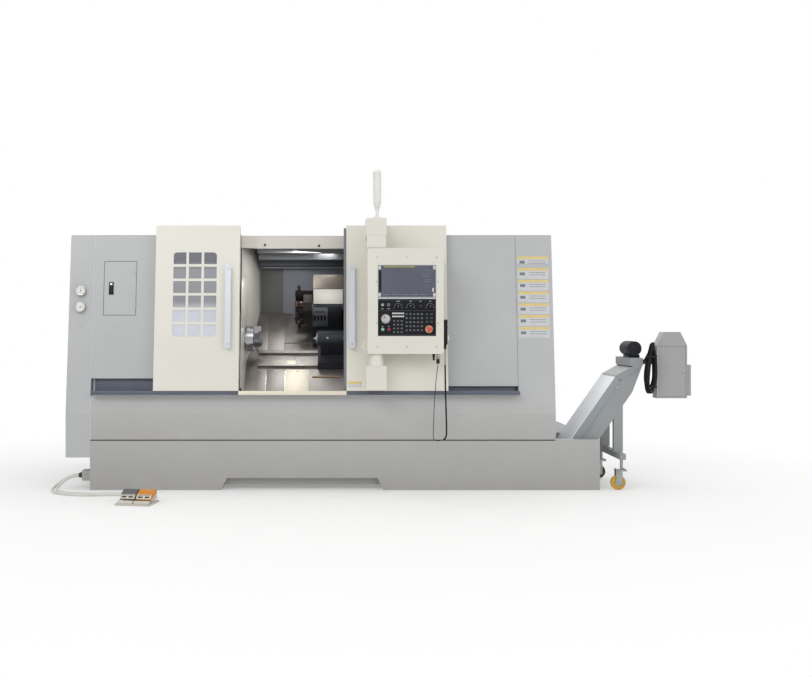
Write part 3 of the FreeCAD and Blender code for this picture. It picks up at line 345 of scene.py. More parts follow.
# each finish: colour, roughness, and where it differs from a plain coat
finishes = {
    "basePaint": ((180, 180, 179), 0.42, dict(tone=0.02, dusty=0.5, reach=0.35, relief=0.03)),
    "skirtPaint": ((191, 191, 191), 0.42, dict(tone=0.02, dusty=0.9, reach=0.66, relief=0.03)),
    "coverPaint": ((187, 189, 190), 0.38, dict(tone=0.03, relief=0.03, coat=0.1)),
    "creamPaint": ((229, 227, 216), 0.32, dict(tone=0.025, relief=0.03, coat=0.15)),
    "headerPaint": ((218, 214, 206), 0.4, dict(tone=0.04, relief=0.03)),
    "castIron": ((96, 98, 102), 0.5, dict(metal=0.4, tone=0.15, cloudScale=12, relief=0.06)),
    "groundSteel": ((190, 192, 196), 0.24, dict(metal=1.0, tone=0.08, grainScale=60, along=(14, 0.6, 0.6),
                                                relief=0.02)),
    "sheetSteel": ((156, 151, 147), 0.42, dict(metal=0.9, tone=0.16, cloudScale=4, grainScale=60,
                                               along=(0.7, 9, 9), relief=0.02)),
    "wallSheet": ((118, 121, 130), 0.5, dict(metal=0.3, tone=0.1, cloudScale=2.5, relief=0.02)),
    "blackOxide": ((46, 42, 40), 0.42, dict(metal=0.7, tone=0.2, cloudScale=25, relief=0.05)),
    "coppery": ((104, 66, 52), 0.5, dict(metal=0.5, tone=0.15, cloudScale=30, relief=0.03)),
    "brightSteel": ((222, 222, 220), 0.2, dict(metal=1.0, tone=0.06, cloudScale=20, relief=0.02)),
    "handleMetal": ((214, 219, 230), 0.38, dict(metal=0.25, tone=0.04, grainScale=80, along=(12, 1, 0.4),
                                                relief=0.02)),
    "windowGlass": ((150, 152, 156), 0.16, dict(tone=0.06, cloudScale=5, relief=0.0, alpha=0.8, coat=0.15)),
    "screenGlass": ((88, 92, 106), 0.12, dict(tone=0.08, cloudScale=6, relief=0.0, coat=0.5)),
    "panelBlack": ((34, 36, 41), 0.6, dict(shine=0.12, tone=0.08, cloudScale=14, relief=0.05)),
    "blackPlastic": ((24, 24, 26), 0.46, dict(shine=0.3, tone=0.1, cloudScale=30, relief=0.06)),
    "whitePlastic": ((232, 232, 228), 0.3, dict(tone=0.03, cloudScale=15, relief=0.02, coat=0.2)),
    "redPlastic": ((205, 70, 55), 0.28, dict(tone=0.08, cloudScale=30, relief=0.02, coat=0.4)),
    "crimson": ((150, 38, 58), 0.34, dict(tone=0.08, cloudScale=30, relief=0.02, coat=0.3)),
    "screenYellow": ((168, 154, 92), 0.4, dict(tone=0.06, cloudScale=30, relief=0.02)),
    "darkRed": ((120, 48, 58), 0.34, dict(tone=0.08, cloudScale=30, relief=0.02, coat=0.3)),
    "greenPlastic": ((140, 186, 156), 0.3, dict(tone=0.08, cloudScale=30, relief=0.02, coat=0.4)),
    "greyPlastic": ((95, 95, 98), 0.42, dict(tone=0.1, cloudScale=20, relief=0.06)),
    "orangePlastic": ((208, 134, 40), 0.36, dict(tone=0.1, cloudScale=20, relief=0.05)),
    "yellowMark": ((226, 202, 128), 0.4, dict(tone=0.06, cloudScale=30, relief=0.02)),
    "paleMark": ((206, 208, 210), 0.45, dict(tone=0.04, cloudScale=30, relief=0.02)),
    "dullKey": ((62, 64, 70), 0.46, dict(tone=0.08, cloudScale=40, relief=0.04)),
    "dullMark": ((120, 124, 132), 0.5, dict(tone=0.05, cloudScale=40, relief=0.02)),
    "brightSheet": ((236, 228, 208), 0.4, dict(metal=0.3, tone=0.06, cloudScale=3, grainScale=60,
                                               along=(0.7, 9, 9), relief=0.02)),
    "warmSheet": ((126, 118, 108), 0.5, dict(metal=0.4, tone=0.15, cloudScale=5, grainScale=60,
                                             along=(9, 0.7, 9), relief=0.02)),
    "warmGrey": ((92, 90, 88), 0.5, dict(metal=0.2, tone=0.1, cloudScale=3, relief=0.02)),
    "midGrey": ((120, 124, 132), 0.42, dict(metal=0.4, tone=0.12, cloudScale=10, relief=0.03)),
    "darkIron": ((58, 60, 67), 0.45, dict(metal=0.5, tone=0.15, cloudScale=12, relief=0.05)),
    "soffitPaintedShade": ((121, 123, 125), 0.6, dict(shine=0.2, tone=0.05, relief=0.02)),
    "soffitPaintedDeepShade": ((84, 87, 94), 0.6, dict(shine=0.2, tone=0.05, relief=0.02)),
    "shadeGrey": ((150, 156, 161), 0.42, dict(tone=0.05, relief=0.03)),
    "climbPaintedLight": ((247, 251, 255), 0.4, dict(tone=0.04, cloudScale=3, relief=0.02, coat=0.2)),
    "tanMark": ((176, 146, 110), 0.45, dict(tone=0.08, cloudScale=20, relief=0.03)),
    "slotBlueAndRailShade": ((92, 97, 110), 0.4, dict(metal=0.2, tone=0.1, cloudScale=4, relief=0.02)),
    "sealRubber": ((120, 122, 126), 0.55, dict(tone=0.08, cloudScale=10, relief=0.04)),
    "conveyorPaint": ((156, 160, 161), 0.4, dict(tone=0.05, dusty=0.3, reach=0.9, relief=0.03)),
    "boxPaint": ((168, 169, 168), 0.42, dict(tone=0.03, relief=0.03)),
    "motorPaint": ((34, 35, 39), 0.5, dict(shine=0.25, tone=0.1, cloudScale=12, relief=0.05)),
    "yellowTread": ((205, 160, 40), 0.4, dict(tone=0.1, cloudScale=20, relief=0.04, dusty=0.3, reach=0.1)),
    "blackTread": ((38, 38, 38), 0.55, dict(tone=0.1, cloudScale=20, relief=0.05, dusty=0.4, reach=0.1)),
    "zinc": ((176, 178, 176), 0.34, dict(metal=0.9, tone=0.14, cloudScale=40, relief=0.03)),
    "paleConduit": ((215, 213, 208), 0.5, dict(tone=0.06, cloudScale=18, grainScale=200, relief=0.08)),
    "cableBlack": ((20, 20, 21), 0.46, dict(shine=0.3, tone=0.12, cloudScale=20, grainScale=300,
                                            relief=0.05)),
    "housingPaint": ((212, 208, 196), 0.45, dict(tone=0.06, cloudScale=14, relief=0.05, dusty=0.4,
                                                 reach=0.06)),
}
looks = {title: finish(title, linear(*color), rough, **more) for title,
         (color, rough, more) in finishes.items()}

nodeLooks = {
    "basePaint": ["machine_base"],
    "skirtPaint": ["front_skirt"],
    "coverPaint": ["left_end_cover", "left_front_cover", "right_front_cover", "right_end_cover",
                   "roof_cover",
                   "rear_cover", "access_door"],
    "creamPaint": ["left_door_shell", "right_door_shell", "console_bracket", "console_body",
                   "headstock_guard"],
    "headerPaint": ["header_beam"],
    "castIron": ["headstock"],
    "sheetSteel": ["slant_bed"],
    "darkIron": ["saddle", "turret_body", "tailstock_body"],
    "wallSheet": ["inner_liner"],
    "groundSteel": ["spindle", "chuck_body", "chuck_jaw_1", "chuck_jaw_2", "chuck_jaw_3",
                    "tailstock_quill"],
    "blackOxide": ["turret_disc"],
    "handleMetal": ["left_door_handle", "right_door_handle"],
    "windowGlass": ["left_door_window"],
    "screenGlass": ["console_screen"],
    "panelBlack": ["key_panel"],
    "blackPlastic": ["selector_knob_1", "selector_knob_2", "pendant_box"],
    "whitePlastic": ["handwheel", "signal_tower", "pendant_dial"],
    "redPlastic": ["estop_button"],
    "crimson": ["stop_button"],
    "greenPlastic": ["start_button"],
    "motorPaint": ["main_motor", "conveyor_motor"],
    "conveyorPaint": ["conveyor_frame"],
    "boxPaint": ["conveyor_control_box"],
    "zinc": ["caster_fork_front", "caster_fork_rear", "cable_bracket", "pressure_gauges"],
    "yellowTread": ["caster_wheel_front"],
    "blackTread": ["caster_wheel_rear"],
    "housingPaint": ["pedal_base"],
    "greyPlastic": ["pedal_left"],
    "orangePlastic": ["pedal_right"],
}
for look, members in nodeLooks.items():
    for member in members:
        mesh = nodes[member].data
        if not mesh.materials:
            mesh.materials.append(looks[look])
        for index in range(len(mesh.materials)):
            mesh.materials[index] = looks[look]


def paintedGlassReflection():
    # painted reflection: the panes are coloured lighter low down, as if mirroring the floor, and darker high
    # up, as if mirroring the dark roof
    tree = looks["windowGlass"].node_tree
    low, high = [corner[2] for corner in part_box("left_door_window")]
    split = addNode(tree, "SeparateXYZ", {}, {0: objectPlace(tree)})
    climb = addNode(tree, "MapRange", {"From Min": low, "From Max": high}, {"Value": split["Z"]})
    ramp = tree.nodes.new("ShaderNodeValToRGB")
    stops = [(0.0, linear(228, 232, 241)), (0.30, linear(224, 228, 237)), (0.42, linear(156, 158, 164)),
             (0.78, linear(148, 150, 157)), (0.88, linear(92, 92, 106))]
    for element, stop in ((0, stops[0]), (1, stops[-1])):
        ramp.color_ramp.elements[element].position, ramp.color_ramp.elements[element].color = stop
    for spot, color in stops[1:-1]:
        ramp.color_ramp.elements.new(spot).color = color
    feed(tree, ramp, {}, {"Fac": climb["Result"]})
    feed(tree, tree.nodes["Group"], {}, {"Color": ramp.outputs["Color"]})


paintedGlassReflection()
print("finishes set")


def drawLine(title, points, radius, order=3, resolution=6, sides=3):
    data = bpy.data.curves.new(title, "CURVE")
    data.dimensions = "3D"
    line = data.splines.new("NURBS")
    line.points.add(len(points) - 1)
    for spot, place in zip(line.points, points):
        spot.co = (place[0], place[1], place[2], 1)
    line.order_u = order
    line.use_endpoint_u = True
    data.resolution_u = resolution
    data.bevel_resolution = sides
    data.bevel_depth = radius
    data.use_fill_caps = True
    piece = bpy.data.objects.new(title, data)
    bpy.context.scene.collection.objects.link(piece)
    return piece


def linePoints(points, resolution=12):
    # points read off a route's own smooth line
    guide = drawLine("guide", points, 0, resolution=resolution)
    guide.data.bevel_depth = 0
    mesh = bpy.data.meshes.new_from_object(guide)
    found = [v.co.copy() for v in mesh.vertices]
    bpy.data.objects.remove(guide)
    bpy.data.meshes.remove(mesh)
    return found


def lineLength(points):
    return sum((b - a).length for a, b in zip(points, points[1:]))


conduits = {"diameter": 0.018}
conduitOne = [
    (-1.757, 0.045, 0.095), (-1.800, 0.043, 0.090), (-1.846, 0.026, 0.066), (-1.876, -0.012, 0.036),
    (-1.882, -0.066, 0.015), (-1.862, -0.124, 0.010), (-1.812, -0.176, 0.010), (-1.744, -0.212, 0.010),
    (-1.664, -0.230, 0.010), (-1.580, -0.230, 0.010), (-1.500, -0.220, 0.010), (-1.420, -0.222, 0.010),
    (-1.350, -0.226, 0.010), (-1.276, -0.234, 0.010), (-1.216, -0.256, 0.010), (-1.176, -0.302, 0.010),
    (-1.163, -0.362, 0.013), (-1.1698, -0.4219, 0.020)]
conduitTwo = [
    (-1.757, 0.087, 0.095), (-1.808, 0.086, 0.089), (-1.862, 0.072, 0.064), (-1.902, 0.032, 0.034),
    (-1.918, -0.030, 0.014), (-1.908, -0.100, 0.010), (-1.872, -0.166, 0.010), (-1.812, -0.222, 0.010),
    (-1.736, -0.262, 0.010), (-1.650, -0.278, 0.010), (-1.566, -0.272, 0.010), (-1.480, -0.260, 0.010),
    (-1.400, -0.258, 0.010), (-1.340, -0.268, 0.010), (-1.296, -0.300, 0.010), (-1.270, -0.354, 0.012),
    (-1.274, -0.408, 0.018)]
pedalTurn = math.radians(-10)
pedalMiddle = (-1.250, -0.560)


def onPedal(x, y, z):
    # a point of the foot switch before it was turned, about its own middle
    return at(pedalMiddle[0] + x * math.cos(pedalTurn) - y * math.sin(pedalTurn),
              pedalMiddle[1] + x * math.sin(pedalTurn) + y * math.cos(pedalTurn), z)


housingSide = 0.053
for title, route, side in (("conduit_a", conduitOne, 1), ("conduit_b", conduitTwo, -1)):
    spots = [at(*spot) for spot in route] + [onPedal(side * housingSide, 0.088, 0.022)]
    piece = drawLine(title, spots, conduits["diameter"] / 2, sides=4)
    finishAs(piece, "paleConduit", "frame")
    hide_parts("pedal_cable_1" if side > 0 else "pedal_cable_2")
    lineLength(linePoints(spots))

# the pendant's cord: straight out of the handset, coiled down to a loop, then plain up to the socket
curl = {"outer": 0.0125, "wire": 0.0046, "pitch": 0.0054, "turnPoints": 12, "start": 0.10, "end": 0.03}
curlRoute = [(0.726, -0.150, 0.960), (0.727, -0.150, 0.840), (0.729, -0.150, 0.700), (0.733, -0.150, 0.570),
             (0.736, -0.150, 0.460), (0.737, -0.150, 0.376), (0.712, -0.150, 0.3515),
             (0.678, -0.150, 0.351)]
leadRoute = [(0.678, -0.150, 0.351), (0.661, -0.150, 0.3517), (0.6485, -0.150, 0.3645),
             (0.6475, -0.150, 0.384),
             (0.6485, -0.150, 0.420), (0.651, -0.150, 0.485), (0.653, -0.150, 0.560),
             (0.658, -0.150, 0.640),
             (0.664, -0.150, 0.720), (0.670, -0.150, 0.790), (0.6765, -0.150, 0.835),
             (0.6795, -0.150, 0.862)]
curlSpine = linePoints([at(*spot) for spot in curlRoute], 24)
spineLength = lineLength(curlSpine)


def alongSpine(distance):
    left = distance
    for a, b in zip(curlSpine, curlSpine[1:]):
        step = (b - a).length
        if left <= step:
            return a.lerp(b, left / step), (b - a).normalized()
        left -= step
    return curlSpine[-1], (curlSpine[-1] - curlSpine[-2]).normalized()


def coilTurns():
    # turns round the spine, opening from it at the start and closing back on it at the end
    radius = (curl["outer"] - curl["wire"]) / 2
    reach = spineLength - curl["end"] - curl["start"]
    total = int(reach / curl["pitch"]) * curl["turnPoints"]
    side = Vector((0, 1, 0))
    turns = []
    for step in range(total + 1):
        place, heading = alongSpine(curl["start"] + step * curl["pitch"] / curl["turnPoints"])
        across = heading.cross(side).normalized()
        angle = step * 2 * math.pi / curl["turnPoints"]
        ease = min(1.0, step / curl["turnPoints"], (total - step) / curl["turnPoints"])
        turns.append(place + (across * math.cos(angle) + side * math.sin(angle)) * radius * ease)
    return turns


cordPoints = [alongSpine(step * 0.025)[0] for step in range(4)]
cordPoints += coilTurns()
cordPoints.append(alongSpine(spineLength - 0.012)[0])
cordPoints += [at(*spot) for spot in leadRoute]
piece = drawLine("pendant_cord", cordPoints, curl["wire"] / 2, resolution=2, sides=2)
finishAs(piece, "cableBlack", "console")
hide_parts("pendant_curl", "pendant_lead")
lineLength(linePoints(cordPoints, 4))

hank = {"diameter": 0.013, "loops": 9, "turnPoints": 14}
hankPoints = [at(2.211, 0.104, 0.900), at(2.196, 0.098, 0.905)]
for step in range(hank["loops"] * hank["turnPoints"] + 1):
    # each loop hangs a little deeper, wider or higher than the last, all on one smooth line
    turn = step / hank["turnPoints"]
    angle = 2 * math.pi * turn
    rise = (1 - math.cos(angle)) / 2
    wander = math.sin(turn * 2.3)
    low = 0.672 + 0.022 * math.cos(turn * 1.7)
    high = 0.982 + 0.022 * math.sin(turn * 1.1)
    halfLow = 0.036 + 0.010 * wander
    halfHigh = 0.014 + 0.006 * wander
    wide = halfHigh + (halfLow - halfHigh) * rise
    depth = 0.070 + 0.032 * math.sin(turn * 2.5 + 0.6)
    hankPoints.append(at(2.172 - 0.018 * rise + wide * math.sin(angle), depth, high + (low - high) * rise))
hankPoints += [at(2.150, 0.098, 0.930), at(2.132, 0.104, 0.884), at(2.116, 0.106, 0.868)]
piece = drawLine("spare_cable_hank", hankPoints, hank["diameter"] / 2, resolution=5)
finishAs(piece, "cableBlack", "frame")
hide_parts("conveyor_hank")
lineLength(linePoints(hankPoints))
print("cords laid")

# floor, camera and lights
view = {"distance": 7.4, "height": 1.122, "lens": 48.25, "shiftX": 0.0862, "shiftY": -0.0166}
clearAll()
bpy.ops.mesh.primitive_plane_add(size=60, location=at(0.3, 2, -0.001))
floor = name(bpy.context.object, "floor")
softer = 0.62


def seenWhite(tree):
    # full strength where it is seen, softer as a light
    path = addNode(tree, "LightPath", {}, {})
    return addNode(tree, "MapRange", {"To Min": softer}, {"Value": path["Is Camera Ray"]})["Result"]


def floorFade():
    # pale underfoot, running out to plain white away from the machine
    material = finish("paleFloor", linear(248, 248, 247), 0.7, tone=0.01, relief=0.0, shine=0.2)
    tree = material.node_tree
    reach = addNode(tree, "VectorMath", {1: (-0.3, -1.6, 0)}, {0: objectPlace(tree)}, operation="DISTANCE")
    fade = addNode(tree, "MapRange", {"From Min": 1.6, "From Max": 4.2, "To Min": 0.25},
                   {"Value": reach["Value"]})
    white = addNode(tree, "Emission", {}, {"Strength": seenWhite(tree)})
    both = addNode(tree, "MixShader", {}, {0: fade["Result"],
                                           1: tree.nodes["Principled BSDF"].outputs["BSDF"],
                                           2: white["Emission"]})
    feed(tree, tree.nodes["Material Output"], {}, {"Surface": both["Shader"]})
    return material


floor.data.materials.append(floorFade())
bpy.ops.object.camera_add(location=at(0, -view["distance"], view["height"]), rotation=(math.pi / 2, 0, 0))
camera = bpy.context.object
camera.data.lens = view["lens"]
camera.data.sensor_width = 36
camera.data.shift_x = view["shiftX"]
camera.data.shift_y = view["shiftY"]
camera.data.clip_end = 100
bpy.context.scene.camera = camera


def softLight(title, place, target, size, power):
    data = bpy.data.lights.new(title, "AREA")
    data.shape = "RECTANGLE"
    data.size = size[0]
    data.size_y = size[1]
    data.energy = power
    lamp = bpy.data.objects.new(title, data)
    bpy.context.scene.collection.objects.link(lamp)
    lamp.location = place
    lamp.rotation_euler = (Vector(target) - Vector(place)).to_track_quat("-Z", "Y").to_euler()
    return lamp


softLight("keyLight", (-3.5, -6.5, 5.0), (0, 0, 0.8), (5, 3), 138)
softLight("fillLight", (4.5, -6.0, 3.4), (0.3, 0, 0.8), (4, 3), 70)
softLight("topLight", (0, 0.5, 6.0), (0, 0.3, 0), (7, 4), 110)
softLight("backLight", (0, 7.0, 4.0), (0, 0, 1), (6, 3), 60)
softLight("chamberLamp", at(-0.250, 0.400, 1.650), at(-0.300, 0.480, 0.900), (0.55, 0.10), 2.6)
# light thrown up from the sheets on to the turret's cover
stripLight = softLight("stripLight", at(-0.056, 0.060, 0.980), at(-0.056, 0.420, 1.325), (0.12, 0.04), 0.09)
stripLight.data.spread = math.radians(45)
stripLight.visible_camera = False


def paleRoom():
    world = bpy.data.worlds.new("paleRoom")
    bpy.context.scene.world = world
    world.use_nodes = True
    tree = world.node_tree
    feed(tree, tree.nodes["Background"], {"Color": (1, 1, 1, 1)}, {"Strength": seenWhite(tree)})


paleRoom()
bpy.context.scene.view_settings.view_transform = "Standard"
print("stage set")

def leanW(v, z):
    # how far up the leaning front a height z lies
    return (z - leanStart + v * math.sin(leanAngle)) / math.cos(leanAngle)


def onLean(title, x, v, w, size, look, body, bevel=0.0006):
    piece = slab(title, leanAt(x, v, w), size, bevel, leanTurn)
    return finishAs(piece, look, body)


def onFace(title, x, y, z, size, look, body, bevel=0.0006):
    return finishAs(slab(title, at(x, y, z), size, bevel), look, body)


def coat(piece, look):
    piece.data.materials.append(looks[look])
    return piece


def screwHead(title, place, radius, axis="Y", tilt=None):
    # a domed head with a cross recess, the recess drawn as dark bars: painted shade in its slots
    head = coat(disc(title, place, radius, radius * 0.7, axis, radius * 0.22, 20, tilt), "zinc")
    spot = place + ((tilt or Matrix()) @ Vector((0, -radius * 0.32, 0)))
    recessShade = [coat(slab("bar", spot, (radius * wide, radius * 0.12, radius * tall), 0.0, tilt), "blackOxide")
            for wide, tall in ((1.1, 0.22), (0.22, 1.1))]
    return join(title, [head] + recessShade)


def around(x, z, radius, degrees):
    # a point of an upright circle, and the turn that points a mark outwards there
    angle = math.radians(degrees)
    return x + radius * math.sin(angle), z + radius * math.cos(angle), Matrix.Rotation(angle, 4, "Y")


# painted highlight: pale strips down the front left edge stand in for light caught on the corner
edgeHighlight = {"left": -1.6712, "width": 0.006, "thick": 0.004}
for part, middle, tall in (("upper", 0.7395, 0.993), ("lower", 0.062, 0.118)):
    onLean("painted_edge_highlight_" + part, edgeHighlight["left"], -0.0008, middle, (edgeHighlight["width"], edgeHighlight["thick"], tall),
           "paleMark", "frame")
onFace("painted_edge_highlight_skirt", edgeHighlight["left"], -0.0006, 0.428, (edgeHighlight["width"], edgeHighlight["thick"], 0.172), "paleMark",
       "frame")
onFace("base_joint", -0.0895, -0.0006, 0.3392, (3.164, 0.003, 0.006), "blackOxide", "frame",
       0.0004)
onLean("end_panel_joint", 1.2436, -0.0004, 0.68, (0.0022, 0.0014, 1.08), "sealRubber", "frame",
       0.0003)
for title, x, v, w, size in (("slot_strip_left", -1.156, 0.0362, 0.1975, (0.990, 0.0014, 0.0875)),
                             ("slot_strip_right", 0.6575, 0.0362, 0.1715, (1.165, 0.0014, 0.0345)),
                             ("slot_end_left", -1.6695, 0.018, 0.1975, (0.006, 0.034, 0.0875))):
    onLean(title, x, v, w, size, "slotBlueAndRailShade", "frame")
print("seams and slots set")

gauge = {"x": -1.756, "front": -0.026, "heights": (1.357, 1.246), "dial": 0.0275, "rim": 0.0302,
         "ticks": 0.0228}
for number, height in enumerate(gauge["heights"], 1):
    w = leanW(gauge["front"], height)

    def onDial(out, x=gauge["x"], w=w):
        return leanAt(x, gauge["front"] - out, w)

    finishAs(disc("gauge_dial_%d" % number, onDial(0.0008), gauge["dial"], 0.0016, "Y", 0.0004, 40,
                  leanTurn), "whitePlastic", "frame")
    rim = hoop("gauge_rim_%d" % number, gauge["rim"], 0.0032, 48, 10)
    placeAt(rim, Matrix.Translation(onDial(0.0012)) @ leanTurn @ layAlongY)
    bpy.ops.object.shade_smooth()
    finishAs(rim, "brightSteel", "frame")
    marks = []
    for tick in range(11):
        x, up, turn = around(gauge["x"], w, gauge["ticks"], -135 + 27 * tick)
        marks.append(slab("tick", onDial(0.0018, x, up), (0.0009, 0.0003, 0.0048), 0.0, leanTurn @ turn))
    x, up, turn = around(gauge["x"], w, 0.007, -40 + 50 * number)
    marks.append(slab("needle", onDial(0.0021, x, up), (0.0014, 0.0005, 0.030), 0.0, leanTurn @ turn))
    marks.append(disc("hub", onDial(0.0024), 0.0034, 0.0014, "Y", 0.0003, 20, leanTurn))
    putTogether("gauge_marks_%d" % number, marks, "blackPlastic", "frame")
blank = {"x": -1.756, "z": 1.136, "radius": 0.026}
finishAs(disc("gauge_blank", leanAt(blank["x"], -0.0010, leanW(0, blank["z"])), blank["radius"], 0.002, "Y",
              0.0006, 40, leanTurn), "coverPaint", "frame")

access = {"left": -1.601, "width": 0.220, "low": 0.680, "height": 0.374, "line": 0.0034}
edges = []
midX = access["left"] + access["width"] / 2
midW = access["low"] + access["height"] / 2
for side in (-1, 1):
    edges.append(slab("line", leanAt(midX + side * (access["width"] / 2 + access["line"] / 2), -0.0003,
                                     midW),
                      (access["line"], 0.0010, access["height"] + 2 * access["line"]), 0.0002, leanTurn))
    edges.append(slab("line",
                      leanAt(midX, -0.0003, midW + side * (access["height"] / 2 + access["line"] / 2)),
                      (access["width"], 0.0010, access["line"]), 0.0002, leanTurn))
putTogether("access_frame_line", edges, "sealRubber", "frame")
latch = {"x": -1.551, "low": 1.331, "high": 1.418, "width": 0.032}
w = leanW(0, (latch["low"] + latch["high"]) / 2)
tall = latch["high"] - latch["low"]
onLean("access_latch_body", latch["x"], -0.0022, w, (latch["width"], 0.0040, tall), "blackPlastic",
       "access_door", 0.0014)
onLean("access_latch_paddle", latch["x"] + 0.002, -0.0056, w - 0.012,
       (latch["width"] * 0.62, 0.0030, tall * 0.58), "blackPlastic", "access_door", 0.0012)
finishAs(disc("access_latch_lock", leanAt(latch["x"], -0.0052, w + 0.028), 0.0075, 0.003, "Y", 0.0006, 24,
              leanTurn), "brightSteel", "access_door")

plates = {"x": 1.3625, "width": 0.213, "top": 1.597, "pitch": 0.0815, "count": 7, "band": 0.017,
          "thick": 0.0012}
pale, bands, lines = [], [], []
for number in range(plates["count"]):
    top = plates["top"] - number * plates["pitch"]
    tall = plates["pitch"] - (0.030 if number == 0 else 0.006)
    w = leanW(0, top)
    pale.append(slab("plate", leanAt(plates["x"], -0.0006, w - tall / 2),
                     (plates["width"], plates["thick"], tall), 0.0004, leanTurn))
    bands.append(slab("band", leanAt(plates["x"], -0.0014, w - plates["band"] / 2),
                      (plates["width"] - 0.004, 0.0006, plates["band"]), 0.0002, leanTurn))
    for row in range(2):
        lines.append(slab("line", leanAt(plates["x"] + 0.028, -0.0013, w - 0.031 - 0.016 * row),
                          (plates["width"] * 0.55, 0.0004, 0.0032), 0.0, leanTurn))
    lines.append(slab("panel", leanAt(plates["x"] - 0.074, -0.0013, w - 0.040), (0.036, 0.0004, 0.020), 0.0,
                      leanTurn))
putTogether("notice_plates", pale, "paleMark", "frame")
putTogether("notice_bands", bands, "yellowMark", "frame")
putTogether("notice_fields", lines, "dullMark", "frame")
for number, (x, z) in enumerate(((-0.498, 1.683), (-0.119, 1.677), (0.300, 1.680)), 1):
    finishAs(screwHead("header_screw_%d" % number, at(x, 0.2285, z), 0.008), "blackOxide", "frame")
print("gauges, latch and plates set")

# corners of the left door's window, the right door's seal and marks, handle screws
window = {"left": -1.113, "width": 0.296, "low": 0.521, "height": 0.582, "face": -0.077, "round": 0.024,
          "fill": 0.003}


def spandrel(title, corner, turn, steps=8):
    # fills the square corner of a window cell round to a radius
    points = [(0, 0), (window["round"], 0)]
    for step in range(1, steps):
        angle = math.radians(90 * step / steps)
        points.append((window["round"] * (1 - math.sin(angle)), window["round"] * (1 - math.cos(angle))))
    points.append((0, window["round"]))
    piece = outlined(title, points, [], [list(range(len(points)))])
    bpy.ops.mesh.extrude_region_move(TRANSFORM_OT_translate={"value": (0, window["fill"], 0)})
    closeUp()
    return placeAt(piece, Matrix.Translation(corner) @ leanTurn @ Matrix.Rotation(turn, 4, "Y"))


right = window["left"] + window["width"]
top = window["low"] + window["height"]
# turning about Y goes from z towards x
corners = [(window["left"], window["low"], 0), (window["left"], top, 90), (right, top, 180),
           (right, window["low"], 270)]
fills = [spandrel("fill", leanAt(x, window["face"], w), math.radians(turn)) for x, w, turn in corners]
putTogether("window_corners", fills, "creamPaint", "left_door")

seal = {"left": 0.0532, "right": 0.0705, "low": 0.165, "high": 1.275}
onLean("door_seal", (seal["left"] + seal["right"]) / 2, -0.0445, (seal["low"] + seal["high"]) / 2,
       (seal["right"] - seal["left"], 0.054, seal["high"] - seal["low"]), "sealRubber", "right_door",
       0.004)
onLean("door_mark_yellow", 0.128, -0.0776, leanW(-0.077, 0.733), (0.094, 0.0012, 0.014), "yellowMark",
       "right_door")
onLean("door_mark_blank", 0.128, -0.0776, leanW(-0.077, 0.712), (0.094, 0.0012, 0.020), "paleMark",
       "right_door")
handle = {"left": -0.734, "right": 0.109, "face": -0.1182, "low": 0.467, "high": 0.981, "head": 0.0055}
for side in ("left", "right"):
    for end in ("low", "high"):
        finishAs(screwHead("%s_handle_screw_%s" % (side, end),
                           leanAt(handle[side], handle["face"], handle[end]), handle["head"], "Y",
                           leanTurn), "zinc", side + "_door")
print("doors dressed")

# operator console: screws, screen, keys, lamps, knobs
front = -0.210
panel = {"screws": [(0.274, 1.569), (0.469, 1.569), (0.664, 1.569), (0.274, 0.979), (0.469, 0.979),
                    (0.664, 0.979),
                    (0.268, 1.409), (0.674, 1.409), (0.268, 1.135), (0.674, 1.135)], "radius": 0.0042}
heads = [screwHead("head", at(x, front - 0.0012, z), panel["radius"]) for x, z in panel["screws"]]
settle(join("console_screws", heads), "console")
onFace("screen_sill", 0.469, front - 0.0010, 1.2996, (0.386, 0.0030, 0.0088), "paleMark", "console")
rim = [slab("rim", at(x, front - 0.0012, z), (wide, 0.0022, tall), 0.0008) for x, z, wide,
       tall in ((0.469, 1.5150, 0.384, 0.006), (0.2800, 1.411, 0.006, 0.206), (0.6580, 1.411, 0.006, 0.206),
                (0.469, 1.3075, 0.384, 0.006))]
putTogether("screen_rim", rim, "dullMark", "console")
clips = [slab("clip", at(x, front - 0.0030, z), (0.018, 0.0034, 0.024), 0.0016) for x in (0.288, 0.650)
         for z in (1.321, 1.501)]
putTogether("screen_clips", clips, "paleMark", "console")
display = {"bar": [0.418, 1.507, 0.205, 0.009], "column": [0.2915, 1.412, 0.017, 0.140],
           "rows": [(0.602, 1.486, 0.052), (0.618, 1.472, 0.040), (0.596, 1.458, 0.060),
                    (0.600, 1.444, 0.050),
                    (0.608, 1.424, 0.036), (0.608, 1.410, 0.044), (0.600, 1.380, 0.030)]}
for part, look in (("bar", "screenYellow"), ("column", "panelBlack")):
    x, z, wide, tall = display[part]
    onFace("screen_" + part, x, front - 0.0004, z, (wide, 0.0008, tall), look, "console",
           0.0)
rows = [slab("row", at(x, front - 0.0004, z), (wide, 0.0008, 0.0030), 0.0) for x, z, wide in display["rows"]]
rows += [slab("row", at(0.330 + 0.062 * step, front - 0.0004, 1.3230), (0.050, 0.0008, 0.0045), 0.0)
         for step in range(5)]
putTogether("screen_rows", rows, "dullMark", "console")
onFace("screen_mark", 0.641, front - 0.0022, 1.354, (0.008, 0.0020, 0.026), "whitePlastic", "console")

keys = {"size": (0.0165, 0.0060, 0.0135), "pitch": 0.0252}
knobRow = (0.4103, 0.4929, 0.5576, 0.6217)
knobZ = 1.2416
hand = {"x": 0.3277, "z": 1.1623, "radius": 0.0285}


def keyBank(title, left, top, columns, rowCount, size, pitchX, pitchZ, look):
    # one soft-edged key, copied along rows and columns
    first = slab(title, at(left, front - size[1] / 2 + 0.001, top), size, 0.0016)
    bank = [first]
    for row in range(rowCount):
        for column in range(columns):
            if row == 0 and column == 0:
                continue
            pick(first)
            bpy.ops.object.duplicate()
            copy = bpy.context.object
            copy.data.transform(Matrix.Translation((column * pitchX, 0, -row * pitchZ)))
            bank.append(copy)
    return putTogether(title, bank, look, "console")


